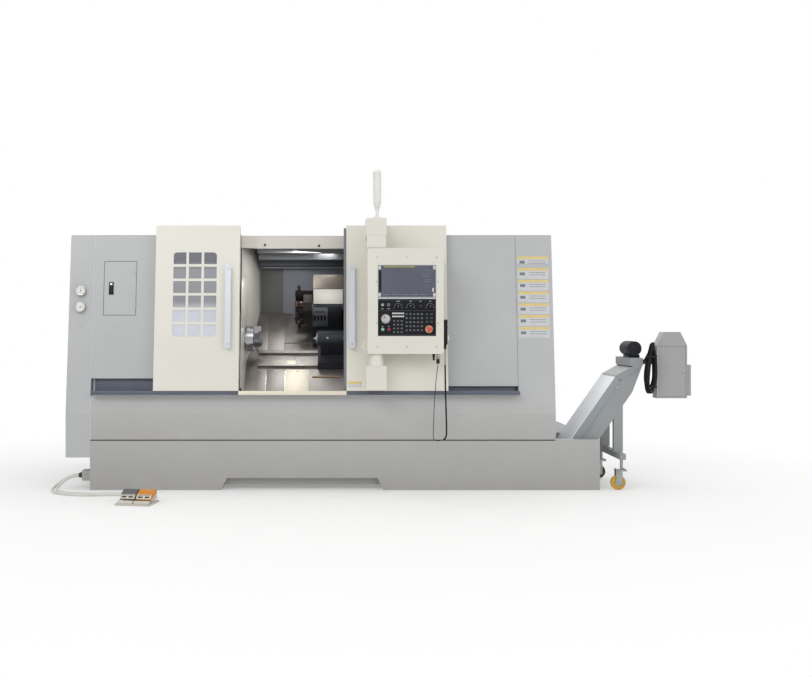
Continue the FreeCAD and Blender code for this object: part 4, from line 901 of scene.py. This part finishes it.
keyBank("white_keys", 0.3765, 1.1990, 6, 2, (0.0105, 0.0050, 0.0095), 0.0135, 0.0200, "whitePlastic")
keyBank("main_keys", 0.4660, 1.1930, 5, 5, keys["size"], keys["pitch"], 0.0265, "dullKey")
keyBank("side_keys", 0.3840, 1.1480, 3, 4, keys["size"], keys["pitch"], 0.0245, "dullKey")
keyBank("axis_keys", 0.6010, 1.1930, 2, 3, keys["size"], 0.030, 0.0250, "dullKey")
marks = [slab("mark", at(0.4660 + column * keys["pitch"], front - 0.0053, 1.1950 - row * 0.0265),
              (0.0060 if (row + column) % 2 else 0.0034, 0.0004, 0.0030),
              0.0) for column in range(5) for row in range(5)]
marks += [slab("mark", at(0.3840 + column * keys["pitch"], front - 0.0053, 1.1500 - row * 0.0245),
               (0.0050, 0.0004, 0.0026), 0.0) for column in range(3) for row in range(4)]
# scales round three knobs and the handwheel: middle, radius, first angle, step, count, then a tick's size
scales = [(knobX, knobZ, 0.0245, -100, 25, 9, 0.0016, 0.0052) for knobX in knobRow[:2] + knobRow[3:]]
scales.append((hand["x"], hand["z"], 0.0345, 0, 18, 20, 0.0010, 0.0042))
for middleX, middleZ, radius, first, apart, count, wide, tall in scales:
    for tick in range(count):
        x, z, turn = around(middleX, middleZ, radius, first + apart * tick)
        marks.append(slab("tick", at(x, front - 0.0006, z), (wide, 0.0010, tall), 0.0, turn))
for x, z, wide in ((0.307, 1.2295, 0.014), (0.347, 1.2295, 0.014), (0.308, 1.1125, 0.012),
                   (0.3495, 1.1125, 0.012),
                   (knobRow[0], 1.2790, 0.024), (knobRow[1], 1.2790, 0.016), (knobRow[2], 1.2790, 0.014),
                   (knobRow[3], 1.2790, 0.014)):
    marks.append(slab("mark", at(x, front - 0.0006, z), (wide, 0.0010, 0.0028), 0.0))
putTogether("panel_marks", marks, "paleMark", "console")
line = [slab("line", at(0.469, front - 0.0006, z), (0.372, 0.0010, 0.0012), 0.0) for z in (1.2880, 1.0555)]
line.append(slab("line", at(0.469, front - 0.0006, 1.2165), (0.372, 0.0010, 0.0010), 0.0))
putTogether("panel_lines", line, "dullMark", "console")

lamp = {"z": 1.2550, "radius": 0.0072, "height": 0.007}
for title, x, look, slotName in (("lamp_green", 0.3072, "greenPlastic", "green_plastic"),
                                 ("lamp_red", 0.3469, "darkRed", "red_plastic")):
    finishAs(disc(title + "_ring", at(x, front - 0.0015, lamp["z"]), lamp["radius"] + 0.0026, 0.003, "Y",
                  0.0008, 28), "zinc", "console")
    finishAs(disc(title, at(x, front - 0.0045, lamp["z"]), lamp["radius"], lamp["height"], "Y", 0.0026, 28),
             look, "console")


def knob(title, x, z, body):
    # a knob: a raised wing on a plain round grip over a round skirt
    skirt = disc("skirt", at(x, front - 0.0025, z), 0.0150, 0.0046, "Y", 0.0014, 40)
    grip = disc("grip", at(x, front - 0.0115, z), 0.0112, 0.0160, "Y", 0.0016, 40)
    wing = slab("wing", at(x, front - 0.0215, z), (0.0070, 0.0060, 0.0210), 0.0018)
    return putTogether(title, [skirt, grip, wing], "blackPlastic", body)


for part, x in zip(("feed", "mode"), knobRow[2:]):
    knob("knob_" + part, x, knobZ, "console")
for body, x in zip(("selector_1", "selector_2"), knobRow):
    finishAs(slab(body + "_pointer", at(x, front - 0.0192, knobZ + 0.0068), (0.0016, 0.0012, 0.0090),
                  0.0003), "whitePlastic", body)
for number, x in enumerate(knobRow[2:], 1):
    onFace("knob_line_%d" % number, x, front - 0.0247, 1.2476, (0.0014, 0.0010, 0.0080), "whitePlastic",
           "console", 0.0)

stop = {"x": 0.6145, "z": 1.0942, "ring": 0.0248}
finishAs(disc("estop_plate", at(stop["x"], front - 0.0008, stop["z"]), stop["ring"], 0.0016, "Y", 0.0004,
              48), "yellowMark", "console")
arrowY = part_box("estop_button")[0][1] - 0.0003 - at(0, 0, 0)[1]
arrows = []
for third in range(3):
    for part in range(4):
        x, z, turn = around(stop["x"], stop["z"], 0.0125, third * 120 + part * 16)
        arrows.append(slab("arrow", at(x, arrowY, z), (0.0034, 0.0006, 0.0014), 0.0, turn))
putTogether("estop_arrows", arrows, "whitePlastic", "estop")

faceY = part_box("handwheel")[0][1] - at(0, 0, 0)[1]
parts = []
for step in range(36):
    x, z, turn = around(hand["x"], hand["z"], hand["radius"] - 0.0006, 10 * step)
    parts.append(slab("rib", at(x, faceY + 0.010, z), (0.0018, 0.014, 0.0018), 0.0005, turn, 1))
putTogether("handwheel_ribs", parts, "whitePlastic", "handwheel")
finishAs(disc("handwheel_face", at(hand["x"], faceY + 0.0004, hand["z"]), 0.0215, 0.0022, "Y", 0.0008, 48),
         "brightSteel", "handwheel")
finishAs(disc("handwheel_grip", at(hand["x"] - 0.010, faceY - 0.0035, hand["z"] + 0.012), 0.0042, 0.0100,
              "Y", 0.0014, 24), "blackPlastic", "handwheel")
print("console dressed")

# hook, plugs and pendant
hook = hoop("cable_hook", 0.026, 0.0042, 40, 12)
editAll()
bpy.ops.mesh.bisect(plane_co=(0.004, 0, 0), plane_no=(1, 0, 0), clear_outer=True, use_fill=True)
leaveEdit()
placeAt(hook, Matrix.Translation(at(0.2060, -0.150, 0.985)) @ layAlongY)
smooth(40)
finishAs(hook, "whitePlastic", "console")
plug = {"x": 0.651, "z": 0.931}
spare = [disc("sleeve", at(plug["x"], -0.150, plug["z"] - 0.010), 0.0095, 0.020, "Z", 0.0016, 24),
         disc("tip", at(plug["x"], -0.150, plug["z"] - 0.032), 0.0068, 0.026, "Z", 0.0022, 24)]
putTogether("spare_plug", spare, "blackPlastic", "console")
collar = [disc("nut", at(0.6795, -0.150, 0.9255), 0.0150, 0.0090, "Z", 0.0012, 6),
          disc("ring", at(0.6795, -0.150, 0.9050), 0.0118, 0.0180, "Z", 0.0012, 28)]
putTogether("socket_collar", collar, "zinc", "console")
finishAs(disc("socket_boot", at(0.6795, -0.150, 0.8800), 0.0112, 0.0320, "Z", 0.0022, 28), "blackPlastic",
         "console")
boot = [disc("ring", at(0.726, -0.150, 0.9900 - 0.0062 * step), 0.0112 - 0.0006 * step, 0.0046, "Z", 0.0012,
             24) for step in range(5)]
putTogether("pendant_boot", boot, "blackPlastic", "console")
buttons = [slab("button", at(0.7405, -0.150 + 0.018 * (row - 1), 1.105), (0.0040, 0.0110, 0.0160), 0.0012)
           for row in range(3)]
putTogether("pendant_buttons", buttons, "dullMark", "console")
tower = {"rings": (1.905, 1.975, 2.045, 2.115)}
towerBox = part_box("signal_tower")
towerX = (towerBox[0][0] + towerBox[1][0]) / 2
towerY = (towerBox[0][1] + towerBox[1][1]) / 2
bands = [disc("ring", Vector((towerX, towerY, z)), 0.0200, 0.0040, "Z", 0.0012, 40) for z in tower["rings"]]
putTogether("tower_rings", bands, "paleMark", "right_door")
print("pendant and tower dressed")

# rail and slot faces: left and right of the chamber the rail's front takes the slots' blue-grey, which under
# the doors is painted shade
rail = {"front": -0.0706, "low": 0.1245, "high": 0.1512}
railMid = (rail["low"] + rail["high"]) / 2
for title, x0, x1, look in (("rail_slot_shade_left", -1.652, -0.661, "slotBlueAndRailShade"),
                            ("rail_slot_shade_right", 0.072, 1.243, "slotBlueAndRailShade"),
                            ("rail_face_sill", -0.660, 0.071, "brightSheet")):
    onLean(title, (x0 + x1) / 2, rail["front"], railMid, (x1 - x0, 0.0012, rail["high"] - rail["low"]),
           look, "frame", 0.0004)

# work chamber: the slope starts at slopeY, slopeZ and climbs at 45 degrees
slopeY, slopeZ = 0.200, 0.620
half = math.sqrt(0.5)
slopeTurn = Matrix.Rotation(math.radians(45), 4, "X")


def slopeAt(x, s, n):
    # s up the bed's slope, n off it
    return at(x, slopeY + (s - n) * half, slopeZ + (s + n) * half)


def onSlope(title, x0, x1, s0, s1, n, thick, look, body, bevel=0.0008):
    piece = slab(title, slopeAt((x0 + x1) / 2, (s0 + s1) / 2, n + thick / 2), (x1 - x0, s1 - s0, thick),
                 bevel, slopeTurn)
    return finishAs(piece, look, body)


# sheets that cover the slope, each lapped over its neighbour
cover = {"break": 0.258, "saddleLow": 0.440, "top": 0.826, "thick": 0.0020, "left": -0.570}
laps = [(-0.570, -0.497, "sheetSteel"), (-0.4955, -0.362, "sheetSteel"), (-0.3605, -0.192, "brightSheet"),
        (-0.1905, 0.688, "sheetSteel")]
for number, (x0, x1, look) in enumerate(laps, 1):
    onSlope("slope_sheet_%d" % number, x0, x1, 0.004, cover["break"], 0.0008, cover["thick"], look, "frame")
for number, (x0, x1, look) in enumerate(laps[:2], 1):
    onSlope("upper_sheet_%d" % number, x0, min(x1, -0.378), cover["saddleLow"], cover["top"], 0.0090,
            cover["thick"], look, "frame")
for number, (s0, s1) in enumerate(((0.298, 0.402), (0.431, 0.438)), 1):
    onSlope("rail_gap_sheet_%d" % number, cover["left"], -0.284, s0, s1, 0.0008, cover["thick"],
            "sheetSteel", "frame")
onSlope("gap_bright_sheet", -0.3605, -0.2860, 0.299, 0.352, 0.0029, 0.0008, "brightSheet", "frame",
        0.0002)
laplines = [slab("line", slopeAt(x, 0.131, 0.0044), (0.0030, 0.252, 0.0030), 0.0006, slopeTurn)
            for x in (-0.4962, -0.3612)]
putTogether("sheet_laps", laplines, "brightSteel", "frame")
bolts = [disc("bolt", slopeAt(x, s, 0.0046), 0.0065, 0.0036, "Z", 0.0010, 16, slopeTurn)
         for x in (-0.545, -0.430, -0.275, -0.120, 0.100, 0.320, 0.540) for s in (0.030, 0.240)]
putTogether("sheet_bolts", bolts, "zinc", "frame")
onSlope("tan_wiper", -0.170, 0.030, 0.181, 0.190, 0.0030, 0.0060, "tanMark", "frame")

# the back wall in two sheets, its bright hem and the stepped soffit above
wall = {"y": 0.7862}
onFace("back_sheet_left", -0.477, wall["y"], 1.380, (0.160, 0.0012, 0.336), "warmGrey", "frame")
onFace("back_sheet_right", 0.150, wall["y"], 1.380, (1.088, 0.0012, 0.336), "wallSheet", "frame")
onFace("back_hem", 0.068, wall["y"] - 0.002, 1.5535, (1.252, 0.005, 0.010), "paleMark", "frame")
ribs = [slab("rib", at(x, wall["y"] - 0.0012, 1.380), (0.004, 0.003, 0.330), 0.001)
        for x in (-0.300, -0.205, 0.000, 0.250)]
putTogether("back_ribs", ribs, "wallSheet", "frame")
# the soffit steps are one sheet painted darker the deeper they lie: painted shade under the roof
steps = [(0.330, 0.075, 1.668, "shadeGrey"), (0.470, 0.080, 1.640, "soffitPaintedShade"),
         (0.600, 0.080, 1.600, "soffitPaintedShade"),
         (0.715, 0.100, 1.562, "soffitPaintedDeepShade")]
for number, (y, deep, low, look) in enumerate(steps, 1):
    onFace("soffit_step_%d" % number, 0.064, y, (low + 1.735) / 2, (1.260, deep, 1.735 - low), look,
           "frame", 0.002)
onFace("guard_gasket", -0.5665, 0.7790, 1.430, (0.010, 0.010, 0.420), "sealRubber", "frame",
       0.002)

# round guard on the left wall: a shallow dish turned from its outline
dish = {"x": -0.6495, "y": 0.235, "z": 1.290, "radius": 0.168, "rise": 0.030}
outline = [(0.0, dish["rise"]), (0.055, dish["rise"]), (0.100, 0.026), (0.140, 0.018), (0.160, 0.008),
           (dish["radius"], 0.0)]
piece = turned("guard_dish", outline, [(i, i + 1) for i in range(len(outline) - 1)],
               at(dish["x"], dish["y"], dish["z"]))
addModifier(piece, "SOLIDIFY", thickness=0.002)
smooth(40)
finishAs(piece, "creamPaint", "frame")
print("chamber lined")

# spindle nose, turret and tailstock: the spindle's line
axisY, axisZ = 0.350, 1.027


def ring(title, x, outer, inner, deep, y=axisY, z=axisZ):
    # a flat ring about the spindle's line
    piece = turned(title, [(inner, 0), (outer, 0), (outer, deep), (inner, deep)],
                   [(0, 1), (1, 2), (2, 3), (3, 0)], at(x, y, z))
    smooth()
    return piece


screws = []
for number in range(3):
    angle = math.radians(30 + 120 * number)
    screws.append(disc("screw", at(-0.5830, axisY + 0.062 * math.sin(angle),
                                   axisZ + 0.062 * math.cos(angle)), 0.0080, 0.0030, "X", 0.0008, 20))
putTogether("chuck_screws", screws, "blackOxide", "spindle")
for jaw in range(3):
    angle = math.radians(120 * jaw)
    bits = []
    for radius in (0.058, 0.077):
        spot = at(-0.5300, axisY - radius * math.sin(angle), axisZ + radius * math.cos(angle))
        bits.append(disc("bolt", spot, 0.0062, 0.0030, "X", 0.0008, 20))
    putTogether("jaw_bolts_%d" % (jaw + 1), bits, "blackOxide", "jaw_%d" % (jaw + 1))

turretY, turretZ = 0.5763, 1.2533
holders = []
inserts = []
for number in range(6):
    angle = math.radians(20 + 60 * number)
    turn = Matrix.Rotation(angle, 4, "X")

    def onTurret(x, across, out):
        place = turn @ Vector((0, across, out))
        return at(x, turretY + place[1], turretZ + place[2])

    look = "coppery" if number == 1 else "blackOxide"
    holders.append(coat(slab("clamp", onTurret(-0.2690, 0, 0.1235), (0.040, 0.036, 0.006), 0.0012, turn),
                        look))
    screw = disc("screw", onTurret(-0.2500, 0.010, 0.1275), 0.0050, 0.0040, "Z", 0.0008, 16, turn)
    holders.append(coat(screw, "zinc"))
    holders.append(coat(slab("side", onTurret(-0.2965, 0, 0.0990), (0.003, 0.034, 0.030), 0.0008, turn),
                        look))
    tip = slab("tip", onTurret(-0.2740, 0, 0.1600), (0.0090, 0.0090, 0.0052), 0.0006, turn)
    inserts.append(coat(tip, "brightSteel"))
settle(join("tool_clamps", holders), "turret")
settle(join("tool_tips", inserts), "turret")
finishAs(ring("turret_hub_ring", -0.2975, 0.060, 0.022, 0.0022, turretY, turretZ), "castIron", "turret")

turretS = 0.7139
onSlope("turret_cover_front", -0.162, 0.049, turretS - 0.0614, turretS - 0.0602, 0.2740, 0.1440,
        "creamPaint", "cross_slide", 0.0004)
onSlope("turret_cover_top", -0.162, 0.049, turretS - 0.058, turretS + 0.088, 0.4202, 0.0012, "warmSheet",
        "cross_slide", 0.0004)
face = turretS - 0.0900
onSlope("turret_block_face", -0.172, -0.060, face - 0.0016, face - 0.0004, 0.0760, 0.1900, "midGrey",
        "cross_slide", 0.0004)
# painted shade: the slot and holes in the block's face are dark strips and discs standing for the shade
# inside them
onSlope("turret_block_slot_shade", -0.150, -0.080, face - 0.0030, face - 0.0014, 0.2180, 0.0080, "blackOxide",
        "cross_slide", 0.0004)
shadedHoles = []
for step in range(4):
    shadedHoles.append(disc("hole", slopeAt(-0.154 + 0.0240 * step, face - 0.0020, 0.178), 0.0080, 0.0022, "Y",
                      0.0003, 24, slopeTurn))
    shadedHoles.append(slab("hole", slopeAt(-0.154 + 0.0240 * step, face - 0.0020, 0.156),
                      (0.0120, 0.0020, 0.040), 0.0006, slopeTurn))
putTogether("turret_block_hole_shade", shadedHoles, "blackOxide", "cross_slide")
finishAs(ring("quill_ring", -0.1335, 0.0500, 0.0335, 0.0026), "castIron", "tailstock")
clampBits = [disc("bolt", at(x, axisY - 0.0545, axisZ + 0.004), 0.0085, 0.0060, "Y", 0.0012, 6)
             for x in (-0.060, 0.060)]
putTogether("tailstock_clamps", clampBits, "zinc", "tailstock")
print("tools dressed")

# conveyor
conveyor = {"front": 0.100, "back": 0.500, "floor": 0.070, "height": 0.155, "elbow": 1.629,
            "angle": math.radians(55),
            "bend": 1.930}
rise = math.tan(conveyor["angle"])
upperX = conveyor["elbow"] - conveyor["height"] * math.tan(conveyor["angle"] / 2)
topZ = conveyor["floor"] + conveyor["height"]
bendZ = topZ + (conveyor["bend"] - upperX) * rise
runTurn = Matrix.Rotation(-conveyor["angle"], 4, "Y")
run = math.hypot(conveyor["bend"] - upperX, bendZ - topZ)


def onRun(along, out, y):
    # a point along the conveyor's climb, out from its upper face
    x = upperX + along * math.cos(conveyor["angle"]) - out * math.sin(conveyor["angle"])
    z = topZ + along * math.sin(conveyor["angle"]) + out * math.cos(conveyor["angle"])
    return at(x, y, z)


midY = (conveyor["front"] + conveyor["back"]) / 2
# painted light: a near-white lid over the climb's upper face makes it read as lit, paler than the grey sides
finishAs(slab("climb_painted_light_lid", onRun(run / 2, 0.0009, midY), (run - 0.016, 0.392, 0.0016), 0.0006, runTurn),
         "climbPaintedLight", "frame")
headTurn = Matrix.Rotation(-math.atan2(0.839 - bendZ, 2.050 - conveyor["bend"]), 4, "Y")
headRun = math.hypot(0.839 - bendZ, 2.050 - conveyor["bend"])
middleHead = at((conveyor["bend"] + 2.050) / 2, midY, (bendZ + 0.839) / 2)
finishAs(slab("head_lid", middleHead + (headTurn @ Vector((0, 0, 0.0009))),
              (headRun - 0.012, 0.392, 0.0016), 0.0006, headTurn), "boxPaint", "frame")
finishAs(slab("climb_flange", onRun(run / 2 + 0.012, -0.026, conveyor["front"] - 0.0010),
              (run - 0.030, 0.0022, 0.046), 0.0008, runTurn), "shadeGrey", "frame")
flange = slab("head_flange", middleHead + (headTurn @ Vector((0.004, -(midY - conveyor["front"]) - 0.0010,
                                                              -0.024))),
              (headRun - 0.006, 0.0022, 0.042), 0.0008, headTurn)
finishAs(flange, "shadeGrey", "frame")
ribLow, ribHigh = at(1.702, conveyor["front"] - 0.0012, 0.342), at(1.912, conveyor["front"] - 0.0012, 0.658)
ribTurn = Matrix.Rotation(-math.atan2(ribHigh[2] - ribLow[2], ribHigh[0] - ribLow[0]), 4, "Y")
rib = slab("side_rib", (ribLow + ribHigh) / 2, ((ribHigh - ribLow).length, 0.0026, 0.0065), 0.0010, ribTurn)
cross = slab("side_cross", at(1.921, conveyor["front"] - 0.0012, 0.655), (0.060, 0.0026, 0.0055), 0.0010,
             Matrix.Rotation(math.radians(35), 4, "Y"))
putTogether("side_ribs", [rib, cross], "shadeGrey", "frame")
finishAs(screwHead("side_bolt", at(1.9366, conveyor["front"] - 0.0026, 0.688), 0.0100), "zinc", "frame")
boltSet = []
for step in range(6):
    spot = onRun(0.070 + step * (run - 0.120) / 5, -0.012, conveyor["front"] - 0.0034)
    boltSet.append(disc("bolt", spot, 0.0048, 0.0026, "Y", 0.0008, 16))
putTogether("flange_bolts", boltSet, "zinc", "frame")
links = [slab("plate", at(2.0560 + 0.0045 * step, midY, 0.7020 + 0.0124 * step), (0.0035, 0.372, 0.0105),
              0.0010, Matrix.Rotation(math.radians(21), 4, "Y")) for step in range(9)]
putTogether("belt_plates", links, "zinc", "frame")
trayLinks = [slab("plate", at(-0.855 + 0.079 * step, midY, 0.2120), (0.074, 0.372, 0.0050), 0.0014)
             for step in range(30)]
putTogether("tray_plates", trayLinks, "zinc", "frame")
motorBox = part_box("conveyor_motor")
motorX = (motorBox[0][0] + motorBox[1][0]) / 2
motorZ = motorBox[1][2] - 0.050
fins = []
motor = {"radius": 0.0485, "finLow": -0.55}
for step in range(24):
    x, z, turn = around(motorX, motorZ, motor["radius"], 15 * step)
    if z - motorZ < motor["radius"] * motor["finLow"]:
        continue
    spot = Vector((x, (motorBox[0][1] + motorBox[1][1]) / 2 + 0.006, z))
    fins.append(slab("fin", spot, (0.0022, 0.120, 0.0050), 0.0006, turn, 1))
fins.append(disc("cap", Vector((motorX, motorBox[0][1] + 0.008, motorZ)), motor["radius"], 0.014, "Y",
                 0.0030, 40))
putTogether("motor_fins", fins, "motorPaint", "frame")
print("conveyor dressed")

# conveyor's control box
case = {"left": 2.211, "right": 2.420, "front": 0.100}
seamBits = [slab("line", at((case["left"] + case["right"]) / 2, case["front"] - 0.0006, z),
                 (0.189, 0.0010, 0.0016), 0.0003) for z in (0.630, 0.975)]
seamBits += [slab("line", at(x, case["front"] - 0.0006, 0.8025), (0.0016, 0.0010, 0.345), 0.0003)
             for x in (2.2215, 2.4095)]
putTogether("case_door_line", seamBits, "sealRubber", "frame")
onFace("case_side_strip", case["left"] + 0.0054, case["front"] - 0.0010, 0.798, (0.0100, 0.0016, 0.350),
       "coverPaint", "frame")
finishAs(disc("case_lock", at(2.396, case["front"] - 0.0018, 0.800), 0.0085, 0.0040, "Y", 0.0010, 28),
         "zinc", "frame")
glands = [disc("gland", at(case["left"] - 0.0060, 0.112 + 0.026 * step, 0.905), 0.0120, 0.0140, "X", 0.0014,
               6) for step in range(3)]
putTogether("case_glands", glands, "blackPlastic", "frame")
tie = {"x": 2.166, "y": 0.070, "heights": (0.905, 0.700)}
tieBands = []
for z in tie["heights"]:
    band = hoop("band", 0.0330, 0.0032, 36, 8)
    band.scale = (1.0, 1.15, 2.2)
    band.location = at(tie["x"], tie["y"], z)
    applyPlace(band)
    bpy.ops.object.shade_smooth()
    tieBands.append(band)
putTogether("hank_ties", tieBands, "blackPlastic", "frame")

# casters, glands and foot switch
caster = {"x": 1.922, "y": {"front": 0.020, "rear": 0.580}, "axle": 0.050, "stem": 1.946, "plate": 0.1400,
          "nutOut": 0.0262, "hubOut": 0.0152, "hub": 0.0250}
for title, y in caster["y"].items():
    nuts = [disc("nut", at(caster["x"], y + side * caster["nutOut"], caster["axle"]), 0.0095, 0.0060, "Y",
                 0.0010, 6)
            for side in (-1, 1)]
    nuts += [disc("nut", at(caster["stem"] + dx, y + dy, caster["plate"]), 0.0062, 0.0060, "Z", 0.0010, 6)
             for dx in (-0.036, 0.022) for dy in (-0.022, 0.022)]
    putTogether("caster_nuts_" + title, nuts, "zinc", "caster_" + title)
    hubs = [disc("hub", at(caster["x"], y + side * caster["hubOut"], caster["axle"]), caster["hub"], 0.0030,
                 "Y", 0.0010, 36) for side in (-1, 1)]
    putTogether("caster_hub_" + title, hubs, "zinc", "wheel_" + title)
gland = {"y": (0.045, 0.087), "z": 0.0950, "nut": (-1.7400, 0.0185), "cap": (-1.7515, 0.0155)}
glandNuts = []
for y in gland["y"]:
    x, radius = gland["nut"]
    glandNuts.append(disc("nut", at(x, y, gland["z"]), radius, 0.0110, "X", 0.0014, 6))
    x, radius = gland["cap"]
    glandNuts.append(disc("cap", at(x, y, gland["z"]), radius, 0.0120, "X", 0.0030, 24))
putTogether("gland_nuts", glandNuts, "blackPlastic", "frame")
pedalPlate = {"across": 0.104, "deep": 0.086, "top": 0.0095, "head": 0.0048}
plateScrews = [screwHead("screw", onPedal(sideX * pedalPlate["across"], sideY * pedalPlate["deep"],
                                          pedalPlate["top"]),
                         pedalPlate["head"], "Z") for sideX in (-1, 1) for sideY in (-1, 1)]
settle(join("pedal_plate_screws", plateScrews), "frame")
# pale nose panels of the two hoods; their openings are dark slabs, painted shade inside the openings
nose = {"width": 0.094, "thick": 0.0016, "tall": 0.031, "y": -0.0250, "z": 0.0460,
        "slope": math.radians(-35.5)}
noseTurn = Matrix.Rotation(pedalTurn, 4, "Z") @ Matrix.Rotation(nose["slope"], 4, "X")
for title, body, side in (("left", "left_pedal", -1), ("right", "right_pedal", 1)):
    middleNose = onPedal(side * housingSide, nose["y"], nose["z"])
    panel = slab("panel", middleNose + noseTurn @ Vector((0, -nose["thick"] / 2, 0)),
                 (nose["width"], nose["thick"], nose["tall"]), 0.0005, noseTurn)
    finishAs(panel, "housingPaint", body)
    name(panel, "pedal_nose_" + title)
    shadedHoles = [slab("hole", middleNose + noseTurn @ Vector((dx, -nose["thick"], dz)), (wide, 0.0008, tall),
                  0.0003, noseTurn)
             for dx, dz, wide, tall in ((-0.022, -0.002, 0.030, 0.010), (0.022, -0.002, 0.030, 0.010),
                                        (0.0, 0.0100, 0.080, 0.0028))]
    putTogether("pedal_opening_shade_" + title, shadedHoles, "blackOxide", body)
print("casters and foot switch dressed")

# back and ends
louvre = {"banks": (-1.040, 0.860), "y": 1.4992, "low": 0.713, "pitch": 0.040, "count": 7,
          "size": (0.330, 0.0024, 0.0120)}
hoodTurn = Matrix.Rotation(math.radians(-6), 4, "X")
hood = [slab("hood", at(x, louvre["y"], louvre["low"] + louvre["pitch"] * row), louvre["size"], 0.0010,
             hoodTurn)
        for x in louvre["banks"] for row in range(louvre["count"])]
putTogether("louvre_hoods", hood, "coverPaint", "frame")
backFace = 1.4994
backBits = [slab("line", at(x, backFace, 1.040), (0.0022, 0.0010, 1.360), 0.0003) for x in (-0.620, 0.430)]
backBits.append(slab("line", at(-0.0900, backFace, 0.640), (3.120, 0.0010, 0.0022), 0.0003))
putTogether("rear_panel_lines", backBits, "sealRubber", "frame")
backScrews = [screwHead("screw", at(x, backFace, z), 0.0060, "Y", Matrix.Rotation(math.pi, 4, "Z"))
              for x in (-1.640, -0.650, -0.590, 0.400, 0.460, 1.460) for z in (0.380, 0.600, 1.180, 1.700)]
settle(join("rear_screws", backScrews), "frame")
finishAs(ring("bar_port_collar", -1.8390, 0.0860, 0.0700, 0.0030, 0.350, 1.027), "zinc", "frame")


def endScrew(x, y, z):
    return disc("screw", at(x, y, z), 0.0058, 0.0026, "X", 0.0008, 16)


ends = {"left": -1.8388, "right": 1.4948, "leftRows": (0.300, 0.900, 1.500),
        "rightRows": (0.400, 0.900, 1.500)}
endScrews = [endScrew(ends["left"], y, z) for y in (0.750, 1.440) for z in ends["leftRows"]]
# the front column follows the lean
endScrews += [endScrew(ends["left"], 0.060 + max(0, z - leanStart) * math.tan(leanAngle), z)
              for z in ends["leftRows"]]
putTogether("left_end_screws", endScrews, "zinc", "frame")
endScrews = [endScrew(ends["right"], y, z) for y in (0.230, 0.750, 1.440) for z in ends["rightRows"]]
putTogether("right_end_screws", endScrews, "zinc", "frame")
roofBits = [slab("line", at(x, 0.860, 1.7466), (0.0022, 1.230, 0.0010), 0.0003) for x in (-0.650, 0.450)]
putTogether("roof_lines", roofBits, "sealRubber", "frame")
print("back and ends dressed")

# sleeve on the console's neck, and a dark panel behind the climb: painted shade in the gap beneath it
sleeve = {"x": 0.268, "y": -0.1500}
onFace("neck_sleeve", sleeve["x"], sleeve["y"], 1.6755, (0.125, 0.096, 0.0840), "creamPaint", "right_door",
       0.003)
onFace("neck_sleeve_lip", sleeve["x"], sleeve["y"], 1.7150, (0.131, 0.100, 0.0070), "creamPaint",
       "right_door", 0.001)
onFace("painted_shade_panel", 1.8530, 0.5000, 0.3740, (0.0840, 0.0040, 0.2000), "darkIron", "frame",
       0.001)
